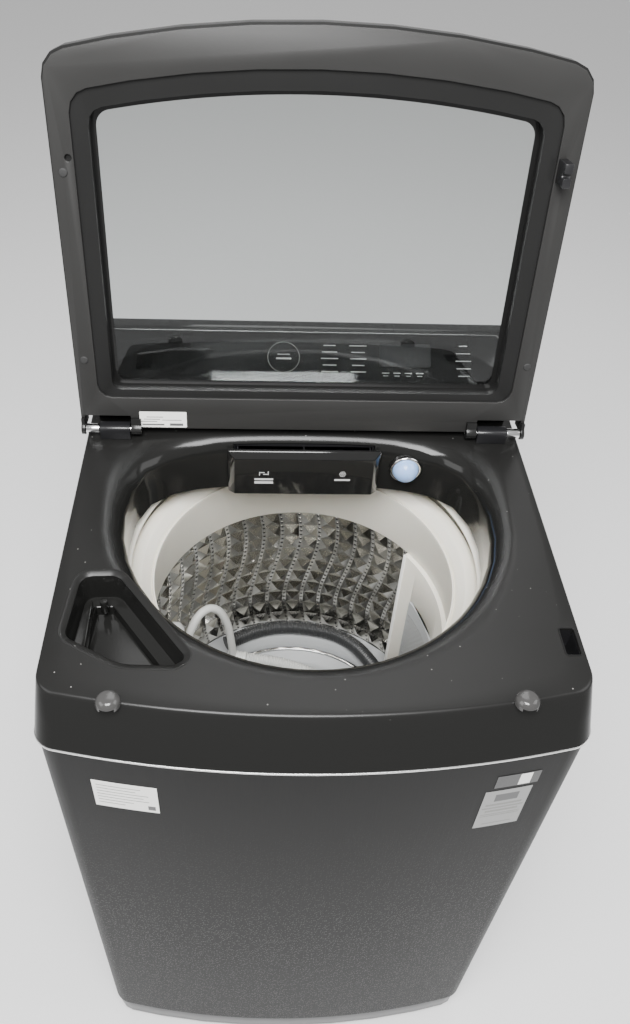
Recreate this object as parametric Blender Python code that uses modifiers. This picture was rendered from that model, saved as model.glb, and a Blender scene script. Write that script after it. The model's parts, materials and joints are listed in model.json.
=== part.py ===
"""Top load washing machine with its lid open: cabinet, lid, dispenser, hung tub, basket and drive.

Metres, +Z up.  The origin is the middle of the footprint at floor level and the front faces -Y.
Every sub-part is one object, and each moving group hangs under an empty that sits on its joint.
"""

from math import atan2, cos, hypot, pi, radians, sin, sqrt, tan

import bpy
import bmesh
from mathutils import Matrix, Vector

# ---------------------------------------------------------------- driving sizes
HALF_WIDTH = 0.305            # trim line and lid, from the middle plane
FRONT_Y = -0.3375             # foremost point of the bowed trim line
BACK_Y = 0.3375               # rearmost point, the hose couplings
REAR_Y = 0.3195               # rear face of the cabinet
TOP_Z = 0.955                 # flat face of the top cover
BOW_RADIUS = 1.336            # plan radius of the front
CORNER_RADIUS = 0.030
GAP = 0.0003                  # between pieces that touch
ROUND_STEPS = 32              # facets of the large turned pieces

# cabinet
SHEET = 0.0012
SHEET_INSET = 0.0035          # sheet behind the trim line, at the sides and front
RETURN_WIDTH = 0.022          # rear flange of the wrap
GUSSET_SIZE = 0.088
GUSSET_SHEET = 0.003
GUSSET_DROP = 0.106           # upper face of the rod gussets, below the top face
SKIRT_BOTTOM = 0.012
SKIRT_TOP = 0.062
SKIRT_WIDTH = 0.016
SKIRT_CORNER = 0.070
TRIM_DROP = 0.0613            # middle of the trim strip, below the top face
TRIM_HEIGHT = 0.003
TRIM_DEPTH = 0.0042

# feet
FOOT_INSET = 0.052
FOOT_PAD_RADIUS = 0.021
FOOT_STEM_RADIUS = 0.006
FOOT_STEM_LENGTH = 0.030

# top cover
COVER_WALL = 0.003
BAND_DROP = 0.0304            # lower edge of the bevel, below the top face
BEVEL_FORWARD = 0.0165
BAND_FORWARD = 0.0147
TOP_HALF_WIDTH = HALF_WIDTH - 0.0064
BAND_HALF_WIDTH = HALF_WIDTH - 0.0032
DRUM_Y = 0.006                # axis of the basket
MOUTH_TOP_RADIUS = 0.2467
MOUTH_RADIUS = 0.2346
MOUTH_LIP_DROP = 0.025
MOUTH_DROP = 0.083
MOUTH_FLARE = 0.040           # extra reach of the mouth's rear corners
MOUTH_TOP_REAR = 0.1385       # rear wall of the mouth at the top face
MOUTH_REAR = 0.1320           # and at its lower edge
MOUTH_STEPS = 44

# hinge and lid
HINGE_Y = 0.1417
HINGE_RISE = 0.0123
LID_OPEN = 99.4               # degrees from closed to the pose that is modelled
LID_LENGTH = 0.459            # hinge line to the front corners
LID_THICK = 0.0264
INNER_FRAME_THICK = 0.004
GLASS_THICK = 0.0028
LID_CORNER = 0.032
PIN_RADIUS = 0.0040
KNUCKLE_RADIUS = 0.0085
HINGE_IN = HALF_WIDTH - 0.067              # the bracket's inner side
HINGE_OUT = HALF_WIDTH - 0.025
BARREL_OUT = HALF_WIDTH - 0.0065
BARREL_RADIUS = 0.0066
HINGE_NOTCH = 0.0195

# latch
LATCH_X = HALF_WIDTH - 0.0207
LATCH_LENGTH = 0.3510         # along the lid from the hinge line
HOOK_WIDTH = 0.0100
HOOK_LENGTH = 0.0270
HOOK_DROP = 0.0270
SLOT_CLEAR = 0.0031
BOLT_RADIUS = 0.0030

# dispenser
DRAWER_HALF = 0.094
DRAWER_TOP = 0.016            # below the top face
DRAWER_BOTTOM = 0.069
DRAWER_WALL = 0.0024
DRAWER_BACK = 0.285
DRAWER_CLEAR = 0.0010
HOUSING_WALL = 0.0025
FACE_HALF = 0.0970
FACE_BEVEL = 0.0090
FACE_STANDOFF = 0.0085        # back of the drawer's front, ahead of the mouth's rear wall
NOZZLE = (0.1440, 0.1220, -0.0400)
NOZZLE_RADIUS = 0.0195

# console
CONSOLE_HALF = HALF_WIDTH - 0.017
CONSOLE_FRONT = 0.1810
CONSOLE_LIP_RISE = 0.0460
CONSOLE_CREST_Y = 0.2590
CONSOLE_RISE = 0.1020
CONSOLE_WALL = 0.003
PANEL_THICK = 0.0030
PANEL_HALF = HALF_WIDTH - 0.027

# tub and suspension
TUB_RADIUS = 0.2620           # inside
TUB_WALL = 0.0026
TUB_FLOOR = 0.2960
TUB_RIM_DROP = 0.118
TUB_COVER_DROP = 0.098
TUB_COVER_BORE = 0.2325
ROD_REACH = 0.3420            # of the four hanging rods, from the drum axis
ROD_RADIUS = 0.0040
EAR_Z = 0.5200
EAR_THICK = 0.012
ROD_END_Z = 0.3700
SPRING_RADIUS = 0.0130
SPRING_WIRE = 0.0019
SPRING_TURNS = 4

# basket
BASKET_RADIUS = 0.2425        # inside
BASKET_SHEET = 0.0015
BASKET_FLOOR = 0.3380
BASKET_TOP_DROP = 0.1290
BASE_LEDGE_Z = 0.4140
RING_BORE = BASKET_RADIUS - 0.0379
RING_LOW_BORE = BASKET_RADIUS - 0.0309
RING_GROOVE_DROP = 0.131
RING_BOTTOM_DROP = 0.221
COLUMN_FACE = BASKET_RADIUS - 0.0375
COLUMN_ANGLES = (-18.0, 36.0)
FILTER_ANGLES = (3.0, 27.0)
FILTER_DROPS = (0.300, 0.470)

# drive
PULSATOR_RADIUS = BASKET_RADIUS - 0.0505
PULSATOR_Z = 0.4050           # top of its rim
VANE_TOP = 0.4230
VANES = 6
SHAFT_RADIUS = 0.0060
SPIN_TUBE_RADIUS = 0.0125
GEARCASE_BOTTOM = 0.2180
STATOR_RADIUS = 0.1040
ROTOR_RADIUS = 0.1150
ROTOR_BOTTOM = 0.1500

# drain
SUMP = (0.135, -0.105)
PUMP_TOP = 0.1300
PUMP_BOTTOM = 0.0800
PUMP_RADIUS = 0.0340
SUMP_RADIUS = 0.0190

# hoses stowed in the basket
HOSE_RADIUS = 0.0115
DARK_HOSE_RADIUS = 0.0130
HOOK_TUBE_RADIUS = 0.0068
COLLAR_LENGTH = 0.034


# pour cup and lid stops
CUP_OUTLINE = [
    (-0.2785, -0.1060, 0.024), (-0.2235, -0.1040, 0.028), (-0.1290, -0.2330, 0.016),
    (-0.1530, -0.2490, 0.016), (-0.2150, -0.2470, 0.060), (-0.2860, -0.2060, 0.022),
]
CUP_BAND = 0.0085             # width of the sloping band round the cup
CUP_DEPTH = 0.0560
CUP_WALL = 0.0024
BUMPER_X = 0.218
BUMPER_Y = -0.2890
BUMPER_RADIUS = 0.0127

# lid openings: half width, nearest and farthest distance from the hinge line, far and near corner radii
LID_OPENING = (HALF_WIDTH - 0.046, 0.0570, 0.4020, 0.020, 0.012)
GLASS_SEAT = (HALF_WIDTH - 0.020, 0.0350, 0.4290, 0.024, 0.016)
INNER_OPENING = (HALF_WIDTH - 0.027, 0.0470, 0.4200, 0.026, 0.018)
PIN_IN = HALF_WIDTH - 0.0815               # inner end of the hinge pin
BRACKET_FRONT = 0.0090
BRACKET_REAR = 0.0230
BRACKET_CREST = 0.0080        # above the hinge line

# dispenser housing and the sloping face of the drawer's front
HOUSING_FRONT = 0.1400
DRAWER_ROOM = 0.006           # behind the closed drawer
SPOUT_HALF = 0.030
SPOUT_Y = (0.18, 0.25)
WATER_INLET = (0.05, 0.22)
WATER_INLET_RADIUS = 0.008
FACE_DROPS = (0.0060, 0.0810) # upper and lower edge, below the top face
FACE_RIM = 0.0130             # ahead of the mouth's rear wall
FACE_LOW = (0.0260, 0.0745)   # lower edge of the flat face: ahead of the wall, below the top face
FACE_HIGH = (0.0200, 0.0150)
CAP_SHARE = 0.94              # nozzle cap radius over the nozzle's

# console shell and board
CONSOLE_REAR_RISE = 0.070
CONSOLE_CREST_RUN = 0.018
BOARD_HALF_X = 0.150
BOARD_HALF_Y = 0.022
BOARD_DROP = 0.012
BOARD_THICK = 0.0016
CHIP_SIZE = 0.022
CHIP_X = (-0.11, -0.06, 0.02, 0.09)

# rear fittings
VALVE_X = -0.185
VALVE_PITCH = 0.048
VALVE_Z = TOP_Z - 0.110
PORT_RADIUS = 0.0130
OUTLET = (0.215, 0.700)
OUTLET_RADIUS = 0.0140
GLAND = (0.225, 0.170)
GLAND_RADIUS = 0.0080

# hub of the tub, gearcase and motor
TUB_BASE_WALL = 0.004
HUB_RADIUS = 0.060
HUB_BORE = 0.0205
HUB_DEPTH = 0.014
FLANGE_RADIUS = 0.120
CASE_RADIUS = 0.070
STATOR_BORE = 0.055
COUPLER_RADIUS = 0.024
COUPLER_HEIGHT = 0.012
CLUTCH_TRAVEL = 0.006
ROTOR_HUB = 0.030

# basket floor, balance ring and wash plate
FLOOR_BORE = BASKET_RADIUS - 0.0525
RING_CREST_DROP = 0.115
RING_RADIUS = BASKET_RADIUS - 0.0025
PULSATOR_SEAT = 0.3840        # underside of the pulsator's hub
DOME_RADIUS = 0.060
VANE_IN = 0.024
VANE_OUT = 0.165

# drain pump
PUMP_WALL = 0.0025
MOTOR_RADIUS = 0.024
MOTOR_HEIGHT = 0.018
SPOUT_RADIUS = 0.010
IMPELLER_RADIUS = 0.022
IMPELLER_SHAFT = 0.003

# lines that the stowed hoses follow
DRAIN_HOSE_ROUTE = [
    (-0.080, 0.139, 0.4440), (-0.020, 0.130, 0.4420), (0.045, 0.103, 0.4400), (0.098, 0.050, 0.4395),
    (0.118, -0.020, 0.4395), (0.095, -0.095, 0.4395), (0.030, -0.145, 0.4395), (-0.050, -0.142, 0.4395),
    (-0.115, -0.098, 0.4395), (-0.148, -0.030, 0.4410), (-0.145, 0.035, 0.4460),
]
INLET_HOSE_ROUTE = [
    (-0.118, 0.184, 0.4290), (-0.060, 0.213, 0.4285), (0.000, 0.2225, 0.4285), (0.074, 0.209, 0.4285),
    (0.118, 0.179, 0.4300), (0.148, 0.132, 0.4330), (0.166, 0.082, 0.4360), (0.178, 0.020, 0.4400),
    (0.172, -0.045, 0.4430), (0.142, -0.105, 0.4450), (0.092, -0.150, 0.4470), (0.025, -0.176, 0.4500),
    (-0.045, -0.172, 0.4560), (-0.107, -0.143, 0.4700), (-0.155, -0.090, 0.4980), (-0.184, -0.020, 0.5450),
    (-0.192, 0.045, 0.5950),
]
HOOK_ROUTE = [
    (-0.186, 0.078, 0.460), (-0.183, 0.085, 0.520), (-0.174, 0.103, 0.563), (-0.159, 0.123, 0.585),
    (-0.142, 0.137, 0.587), (-0.126, 0.143, 0.572), (-0.113, 0.145, 0.535), (-0.107, 0.143, 0.490),
    (-0.104, 0.141, 0.452),
]

# levels that follow from the sizes above
HINGE_Z = TOP_Z + HINGE_RISE
LATCH_Y = HINGE_Y - LATCH_LENGTH
SHEET_HALF = HALF_WIDTH - SHEET_INSET
SHEET_FRONT = FRONT_Y + 0.002
TRIM_LOW = TOP_Z - TRIM_DROP - TRIM_HEIGHT / 2
TRIM_HIGH = TOP_Z - TRIM_DROP + TRIM_HEIGHT / 2


# ---------------------------------------------------------------- scene and materials
for old in list(bpy.data.objects):
    bpy.data.objects.remove(old, do_unlink=True)

PARTS = bpy.data.collections.new("top_load_washing_machine")
CUTTERS = bpy.data.collections.new("cutters")
bpy.context.scene.collection.children.link(PARTS)
bpy.context.scene.collection.children.link(CUTTERS)


def material(name, colour, roughness, metallic=0.0, alpha=1.0):
    mat = bpy.data.materials.new(name)
    mat.use_nodes = True
    shader = mat.node_tree.nodes["Principled BSDF"]
    shader.inputs["Base Color"].default_value = (*colour, 1.0)
    shader.inputs["Roughness"].default_value = roughness
    shader.inputs["Metallic"].default_value = metallic
    shader.inputs["Alpha"].default_value = alpha
    return mat


CHARCOAL = material("charcoal_sheet", (0.030, 0.030, 0.032), 0.55, 0.3)
COVER_GREY = material("cover_grey", (0.052, 0.050, 0.049), 0.32)
BLACK = material("black_plastic", (0.012, 0.012, 0.013), 0.35)
GLOSS_BLACK = material("gloss_black", (0.006, 0.006, 0.007), 0.08)
SILVER = material("silver_trim", (0.75, 0.75, 0.75), 0.2, 1.0)
CHROME = material("chrome", (0.85, 0.85, 0.86), 0.08, 1.0)
STEEL = material("drum_steel", (0.60, 0.59, 0.57), 0.25, 1.0)
GALVANISED = material("galvanised_steel", (0.45, 0.46, 0.47), 0.45, 1.0)
CREAM = material("cream_plastic", (0.80, 0.78, 0.70), 0.4)
GREY = material("grey_plastic", (0.38, 0.39, 0.40), 0.45)
PALE = material("pale_plastic", (0.66, 0.67, 0.65), 0.45)
BLUE = material("blue_plastic", (0.30, 0.47, 0.80), 0.35)
RUBBER = material("rubber", (0.02, 0.02, 0.02), 0.75)
GLASS = material("tinted_glass", (0.30, 0.32, 0.33), 0.03, 0.0, 0.35)
COPPER = material("copper_winding", (0.72, 0.33, 0.16), 0.35, 1.0)
BOARD = material("circuit_board", (0.03, 0.16, 0.06), 0.5)


# ---------------------------------------------------------------- modelling helpers
def own(obj, name, mat, parent=None):
    """Name the object, give it its material and put it and its tools under its parent."""
    for group in list(obj.users_collection):
        group.objects.unlink(obj)
    PARTS.objects.link(obj)
    obj.name = name
    obj.data.name = name
    obj.data.materials.clear()
    obj.data.materials.append(mat)
    obj.parent = parent
    for step in obj.modifiers:
        if step.type == "BOOLEAN":
            step.object.parent = parent
            step.object.matrix_local = obj.matrix_basis
    return obj


def cutter(obj):
    """Mark an object as a tool that only shapes others."""
    for group in list(obj.users_collection):
        group.objects.unlink(obj)
    CUTTERS.objects.link(obj)
    obj.hide_render = True
    obj.display_type = "WIRE"
    return obj


def boolean(obj, tool, operation):
    step = obj.modifiers.new(operation.lower(), "BOOLEAN")
    step.operation = operation
    step.solver = "EXACT"
    step.object = cutter(tool)
    return obj


def cut(obj, *tools):
    for tool in tools:
        boolean(obj, tool, "DIFFERENCE")
    return obj


def join(obj, *tools):
    for tool in tools:
        boolean(obj, tool, "UNION")
    return obj


def smooth(obj, angle=35.0):
    obj.data.shade_smooth()
    obj.data.set_sharp_from_angle(angle=radians(angle))
    return obj


def as_mesh(obj):
    """Turn a curve object into a welded mesh object that keeps its place."""
    graph = bpy.context.evaluated_depsgraph_get()
    mesh = bpy.data.meshes.new_from_object(obj.evaluated_get(graph))
    work = bmesh.new()
    work.from_mesh(mesh)
    bmesh.ops.remove_doubles(work, verts=work.verts, dist=1e-6)
    bmesh.ops.recalc_face_normals(work, faces=work.faces)
    work.to_mesh(mesh)
    work.free()
    solid = bpy.data.objects.new(obj.name, mesh)
    bpy.context.scene.collection.objects.link(solid)
    solid.matrix_world = obj.matrix_world.copy()
    bpy.data.objects.remove(obj, do_unlink=True)
    return solid


def baked(obj, matrix):
    """Move the mesh itself, so that the object's own origin stays where it is."""
    obj.data.transform(matrix)
    return obj


def prism(outline, low, high):
    """Closed solid of a flat outline (x, y) between two heights."""
    curve = bpy.data.curves.new("prism", "CURVE")
    curve.dimensions = "2D"
    curve.fill_mode = "BOTH"
    curve.extrude = (high - low) / 2
    line = curve.splines.new("POLY")
    line.points.add(len(outline) - 1)
    for point, (x, y) in zip(line.points, outline):
        point.co = (x, y, 0.0, 1.0)
    line.use_cyclic_u = True
    obj = bpy.data.objects.new("prism", curve)
    bpy.context.scene.collection.objects.link(obj)
    return baked(as_mesh(obj), Matrix.Translation((0, 0, (low + high) / 2)))


def side_prism(profile, x0, x1):
    """Closed solid of a side profile (y, z) between two x positions."""
    turn = Matrix(((0, 0, 1, 0), (1, 0, 0, 0), (0, 1, 0, 0), (0, 0, 0, 1)))
    return baked(prism(profile, x0, x1), turn)


def box(x, y, z, bevel=0.0):
    """Block between two x, two y and two z positions, with an optional edge bevel."""
    bpy.ops.mesh.primitive_cube_add(size=1.0)
    obj = bpy.context.object
    size = Matrix.Diagonal((x[1] - x[0], y[1] - y[0], z[1] - z[0], 1.0))
    middle = Vector((x[0] + x[1], y[0] + y[1], z[0] + z[1])) / 2
    baked(obj, Matrix.Translation(middle) @ size)
    if bevel:
        edge = obj.modifiers.new("edge", "BEVEL")
        edge.width = bevel
        edge.segments = 2
        edge.limit_method = "ANGLE"
    return obj


def cylinder(centre, radius, length, axis="Z", sides=16):
    bpy.ops.mesh.primitive_cylinder_add(vertices=sides, radius=radius, depth=length)
    turn = {
        "X": Matrix.Rotation(pi / 2, 4, "Y"),
        "Y": Matrix.Rotation(pi / 2, 4, "X"),
        "Z": Matrix.Identity(4),
    }[axis]
    return baked(bpy.context.object, Matrix.Translation(centre) @ turn)


def turned(profile, steps=ROUND_STEPS, closed=True):
    """Solid of revolution about Z: the profile runs down its outer side, top to bottom."""
    mesh = bpy.data.meshes.new("turned")
    last = len(profile) if closed else len(profile) - 1
    edges = [(i, (i + 1) % len(profile)) for i in range(last)]
    mesh.from_pydata([(r, 0.0, z) for r, z in profile], edges, [])
    obj = bpy.data.objects.new("turned", mesh)
    bpy.context.scene.collection.objects.link(obj)
    screw = obj.modifiers.new("turn", "SCREW")
    screw.steps = steps
    screw.render_steps = steps
    screw.use_merge_vertices = True
    screw.merge_threshold = 0.00005
    screw.use_smooth_shade = True
    return obj


def tube(points, radius, resolution=2):
    """Round bar along points, with filled ends."""
    curve = bpy.data.curves.new("tube", "CURVE")
    curve.dimensions = "3D"
    curve.bevel_depth = radius
    curve.bevel_resolution = resolution
    curve.use_fill_caps = True
    line = curve.splines.new("POLY")
    line.points.add(len(points) - 1)
    for point, place in zip(line.points, points):
        point.co = (*place, 1.0)
    obj = bpy.data.objects.new("tube", curve)
    bpy.context.scene.collection.objects.link(obj)
    return obj


def loft(rings):
    """Closed solid through rings that have the same number of points."""
    work = bmesh.new()
    rows = [[work.verts.new(p) for p in ring] for ring in rings]
    count = len(rows[0])
    for low, high in zip(rows, rows[1:]):
        for i in range(count):
            j = (i + 1) % count
            work.faces.new((low[i], low[j], high[j], high[i]))
    work.faces.new(list(reversed(rows[0])))
    work.faces.new(rows[-1])
    sides = [face for face in work.faces if len(face.verts) == 4]
    bmesh.ops.triangulate(work, faces=sides)
    bmesh.ops.recalc_face_normals(work, faces=work.faces)
    mesh = bpy.data.meshes.new("loft")
    work.to_mesh(mesh)
    work.free()
    obj = bpy.data.objects.new("loft", mesh)
    bpy.context.scene.collection.objects.link(obj)
    return obj


def rounded(corners, steps=3):
    """Outline through corners (x, y, radius), each rounded by an arc."""
    points = []
    count = len(corners)
    for i, (x, y, radius) in enumerate(corners):
        here = Vector((x, y))
        if radius <= 0:
            points.append((x, y))
            continue
        before = (Vector(corners[i - 1][:2]) - here).normalized()
        after = (Vector(corners[(i + 1) % count][:2]) - here).normalized()
        half = before.angle(after) / 2
        middle = here + (before + after).normalized() * (radius / sin(half))
        start = here + before * (radius / tan(half)) - middle
        sweep = (pi - 2 * half) * (1 if before.cross(after) < 0 else -1)
        for k in range(steps + 1):
            spoke = start.copy()
            spoke.rotate(Matrix.Rotation(sweep * k / steps, 2))
            points.append(tuple(middle + spoke))
    return points


def bow(half_width, apex_y, points=9):
    """Points along the bowed front, left to right."""
    xs = [half_width * (2 * i / (points - 1) - 1) for i in range(points)]
    return [(x, apex_y + BOW_RADIUS - sqrt(BOW_RADIUS**2 - x * x)) for x in xs]


def body_outline(half_width, apex_y, rear_y, corner=CORNER_RADIUS, rear_corner=0.006):
    """Plan of the cabinet: bowed front, rounded corners, straight back."""
    front = bow(half_width, apex_y)
    corners = [(*front[0], corner)]
    corners += [(*p, 0.0) for p in front[1:-1]]
    corners += [(*front[-1], corner), (half_width, rear_y, rear_corner)]
    corners += [(-half_width, rear_y, rear_corner)]
    return rounded(corners)


def at_height(outline, z):
    return [(x, y, z) for x, y in outline]


def polar(radius, degrees):
    """Plan point at a distance and direction from the drum axis."""
    return (radius * cos(radians(degrees)), DRUM_Y + radius * sin(radians(degrees)))


def sector(inner, outer, start, end, steps=8):
    """Plan outline between two radii and two directions about the drum axis."""
    turns = [start + (end - start) * i / steps for i in range(steps + 1)]
    return [polar(outer, a) for a in turns] + [polar(inner, a) for a in reversed(turns)]


def empty(name, place, parent=None):
    obj = bpy.data.objects.new(name, None)
    obj.empty_display_size = 0.04
    obj.location = place
    obj.parent = parent
    PARTS.objects.link(obj)
    return obj


# ---------------------------------------------------------------- joints
LID_AXIS = empty("lid_axis", (0, HINGE_Y, HINGE_Z))
LID_AXIS.rotation_euler = (-radians(LID_OPEN), 0, 0)
TUB_AXIS = empty("tub_axis", (0, DRUM_Y, 0))
BASKET_AXIS = empty("basket_axis", (0, 0, 0), TUB_AXIS)
PULSATOR_AXIS = empty("pulsator_axis", (0, 0, 0), BASKET_AXIS)


# ---------------------------------------------------------------- cabinet


def rod_places():
    """Plan places of the four hanging rods, named by corner."""
    step = ROD_REACH / sqrt(2)
    return {
        "front_left": (-step, DRUM_Y - step),
        "front_right": (step, DRUM_Y - step),
        "rear_left": (-step, DRUM_Y + step),
        "rear_right": (step, DRUM_Y + step),
    }


def cabinet_wrap():
    """U-shaped sheet with rear flanges and a gusset in each upper corner for the rods."""
    low, high = SKIRT_TOP + GAP, TRIM_LOW - GAP
    outer = body_outline(SHEET_HALF, SHEET_FRONT, REAR_Y - SHEET - GAP, CORNER_RADIUS, 0.004)
    inner = body_outline(
        SHEET_HALF - SHEET, SHEET_FRONT + SHEET, REAR_Y - 2 * SHEET - GAP, CORNER_RADIUS - SHEET, 0.003
    )
    wrap = prism(outer, low, high)
    window = SHEET_HALF - RETURN_WIDTH
    cut(wrap, prism(inner, low - 0.01, high + 0.01))
    cut(wrap, box((-window, window), (REAR_Y - 0.02, REAR_Y + 0.02), (low - 0.01, high + 0.01)))
    top = TOP_Z - GUSSET_DROP
    for name, (x, y) in rod_places().items():
        side = 1 if x > 0 else -1
        end = 1 if y > 0 else -1
        corner_x = side * (SHEET_HALF - SHEET / 2)
        corner_y = REAR_Y - 1.5 * SHEET - GAP if end > 0 else bow(SHEET_HALF, SHEET_FRONT)[0][1] + SHEET / 2
        if end < 0:
            corner_y -= 0.004
        outline = [
            (corner_x - side * GUSSET_SIZE, corner_y),
            (corner_x - side * 0.030, corner_y) if end > 0 else (corner_x - side * 0.034, corner_y),
            (corner_x - side * 0.0015, corner_y - end * 0.030),
            (corner_x - side * 0.0002, corner_y - end * GUSSET_SIZE),
            (corner_x - side * 0.050, corner_y - end * GUSSET_SIZE),
            (corner_x - side * GUSSET_SIZE, corner_y - end * 0.050),
        ]
        join(wrap, prism(outline, top - GUSSET_SHEET, top))
        cut(wrap, cylinder((x, y, top), ROD_RADIUS + 0.001, 0.03, sides=12))
    own(wrap, "cabinet_wrap", CHARCOAL)


def rear_panel():
    """Back sheet with a pressed centre and holes for the couplings and the lead."""
    half = SHEET_HALF - 0.004
    panel = box((-half, half), (REAR_Y - SHEET, REAR_Y), (SKIRT_TOP + GAP, TRIM_LOW - GAP))
    for x, z, radius in rear_ports():
        cut(panel, cylinder((x, REAR_Y, z), radius + GAP, 0.02, "Y", 20))
    own(panel, "rear_panel", GALVANISED)


def rear_ports():
    """x, z and radius of every tube that passes through the back."""
    return [
        (VALVE_X, VALVE_Z, PORT_RADIUS),
        (VALVE_X + VALVE_PITCH, VALVE_Z, PORT_RADIUS),
        (*OUTLET, OUTLET_RADIUS),
        (*GLAND, GLAND_RADIUS),
    ]


def foot_places():
    front = bow(SHEET_HALF, SHEET_FRONT)[0][1] + FOOT_INSET
    x = SHEET_HALF - FOOT_INSET
    rear = REAR_Y - FOOT_INSET
    return {
        "front_left": (-x, front),
        "front_right": (x, front),
        "rear_left": (-x, rear),
        "rear_right": (x, rear),
    }


def base_frame():
    """Moulded skirt with four solid corners that take the feet."""
    inset = 0.003
    outline = body_outline(SHEET_HALF - inset, SHEET_FRONT + inset, REAR_Y - inset)
    base = prism(outline, SKIRT_BOTTOM, SKIRT_TOP)
    x = SHEET_HALF - inset - SKIRT_WIDTH
    front = bow(SHEET_HALF, SHEET_FRONT)[0][1] + SKIRT_WIDTH
    rear = REAR_Y - inset - SKIRT_WIDTH
    c = SKIRT_CORNER
    well = [
        (x, front + c), (x, rear - c), (x - c, rear), (c - x, rear),
        (-x, rear - c), (-x, front + c), (c - x, front), (x - c, front),
    ]
    cut(base, prism(well, SKIRT_BOTTOM - 0.01, SKIRT_TOP + 0.01))
    for px, py in foot_places().values():
        cut(base, cylinder((px, py, SKIRT_TOP), FOOT_STEM_RADIUS + 2 * GAP, 0.2, sides=16))
    own(base, "base_frame", BLACK)


def feet():
    for name, (x, y) in foot_places().items():
        pad, stem = FOOT_PAD_RADIUS, FOOT_STEM_RADIUS
        top = SKIRT_BOTTOM - GAP
        foot = turned(
            [
                (0.0, top + FOOT_STEM_LENGTH), (stem, top + FOOT_STEM_LENGTH), (stem, top),
                (pad - 0.003, top), (pad, top - 0.004), (pad, 0.0), (0.0, 0.0),
            ],
            14, False,
        )
        axis = empty(f"foot_{name}_axis", (x, y, 0))
        own(foot, f"foot_{name}", RUBBER, axis)


def trim_strip():
    """Bright strip round the front and sides, between the cover and the sheet."""
    outer = body_outline(HALF_WIDTH, FRONT_Y, REAR_Y)
    inner = body_outline(HALF_WIDTH - TRIM_DEPTH, FRONT_Y + TRIM_DEPTH, REAR_Y + 0.05)
    strip = prism(outer, TRIM_LOW, TRIM_HIGH)
    cut(strip, prism(inner, TRIM_LOW - 0.01, TRIM_HIGH + 0.01))
    own(strip, "trim_strip", SILVER)


# ---------------------------------------------------------------- top cover
def mouth_ring(radius, rear, flare, power, z, grow=0.0):
    """Round mouth, flattened at the rear: a soft minimum of the circle and the rear wall."""
    ring = []
    for i in range(MOUTH_STEPS):
        turn = 2 * pi * i / MOUTH_STEPS
        reach = radius
        if sin(turn) > 0.02:
            reach += flare * sin(turn)
            wall = (rear - DRUM_Y) / sin(turn)
            reach = (reach**-power + wall**-power) ** (-1 / power)
        reach += grow
        ring.append((reach * cos(turn), DRUM_Y + reach * sin(turn), z))
    return ring


def mouth_solid(grow, top, bottom, over=0.0):
    """Lofted body of the mouth; over lets a cutter run past the faces that it opens."""
    upper = mouth_ring(MOUTH_TOP_RADIUS, MOUTH_TOP_REAR, MOUTH_FLARE, 10, TOP_Z + over, grow)
    lip = mouth_ring(MOUTH_RADIUS, MOUTH_REAR + 0.004, 0.0, 5, TOP_Z - MOUTH_LIP_DROP, grow)
    low = mouth_ring(MOUTH_RADIUS, MOUTH_REAR, 0.0, 5, TOP_Z - MOUTH_DROP - over, grow)
    rings = [low, lip, [(x, y, top) for x, y, z in upper]]
    if over:
        rings = [[(x, y, bottom) for x, y, z in low], low, lip, upper, rings[-1]]
    return loft(rings)


def inset_corners(corners, distance):
    """The same outline moved inwards, side by side, with its corner radii reduced."""
    moved = []
    count = len(corners)
    for i, (x, y, radius) in enumerate(corners):
        here = Vector((x, y))
        before = (here - Vector(corners[i - 1][:2])).normalized()
        after = (Vector(corners[(i + 1) % count][:2]) - here).normalized()
        inward = Vector((before.y, -before.x)) + Vector((after.y, -after.x))
        scale = distance / (1 + before.dot(after))
        moved.append((x + inward.x * scale, y + inward.y * scale, max(radius - distance, 0.003)))
    return moved


def latch_slot(low, high, grow=0.0):
    """Slot that the lid's hook drops into."""
    half_x = HOOK_WIDTH / 2 + SLOT_CLEAR + grow
    half_y = HOOK_LENGTH / 2 + SLOT_CLEAR + 0.0015 + grow
    return box(
        (LATCH_X - half_x, LATCH_X + half_x), (LATCH_Y - half_y, LATCH_Y + half_y), (low, high)
    )


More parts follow.
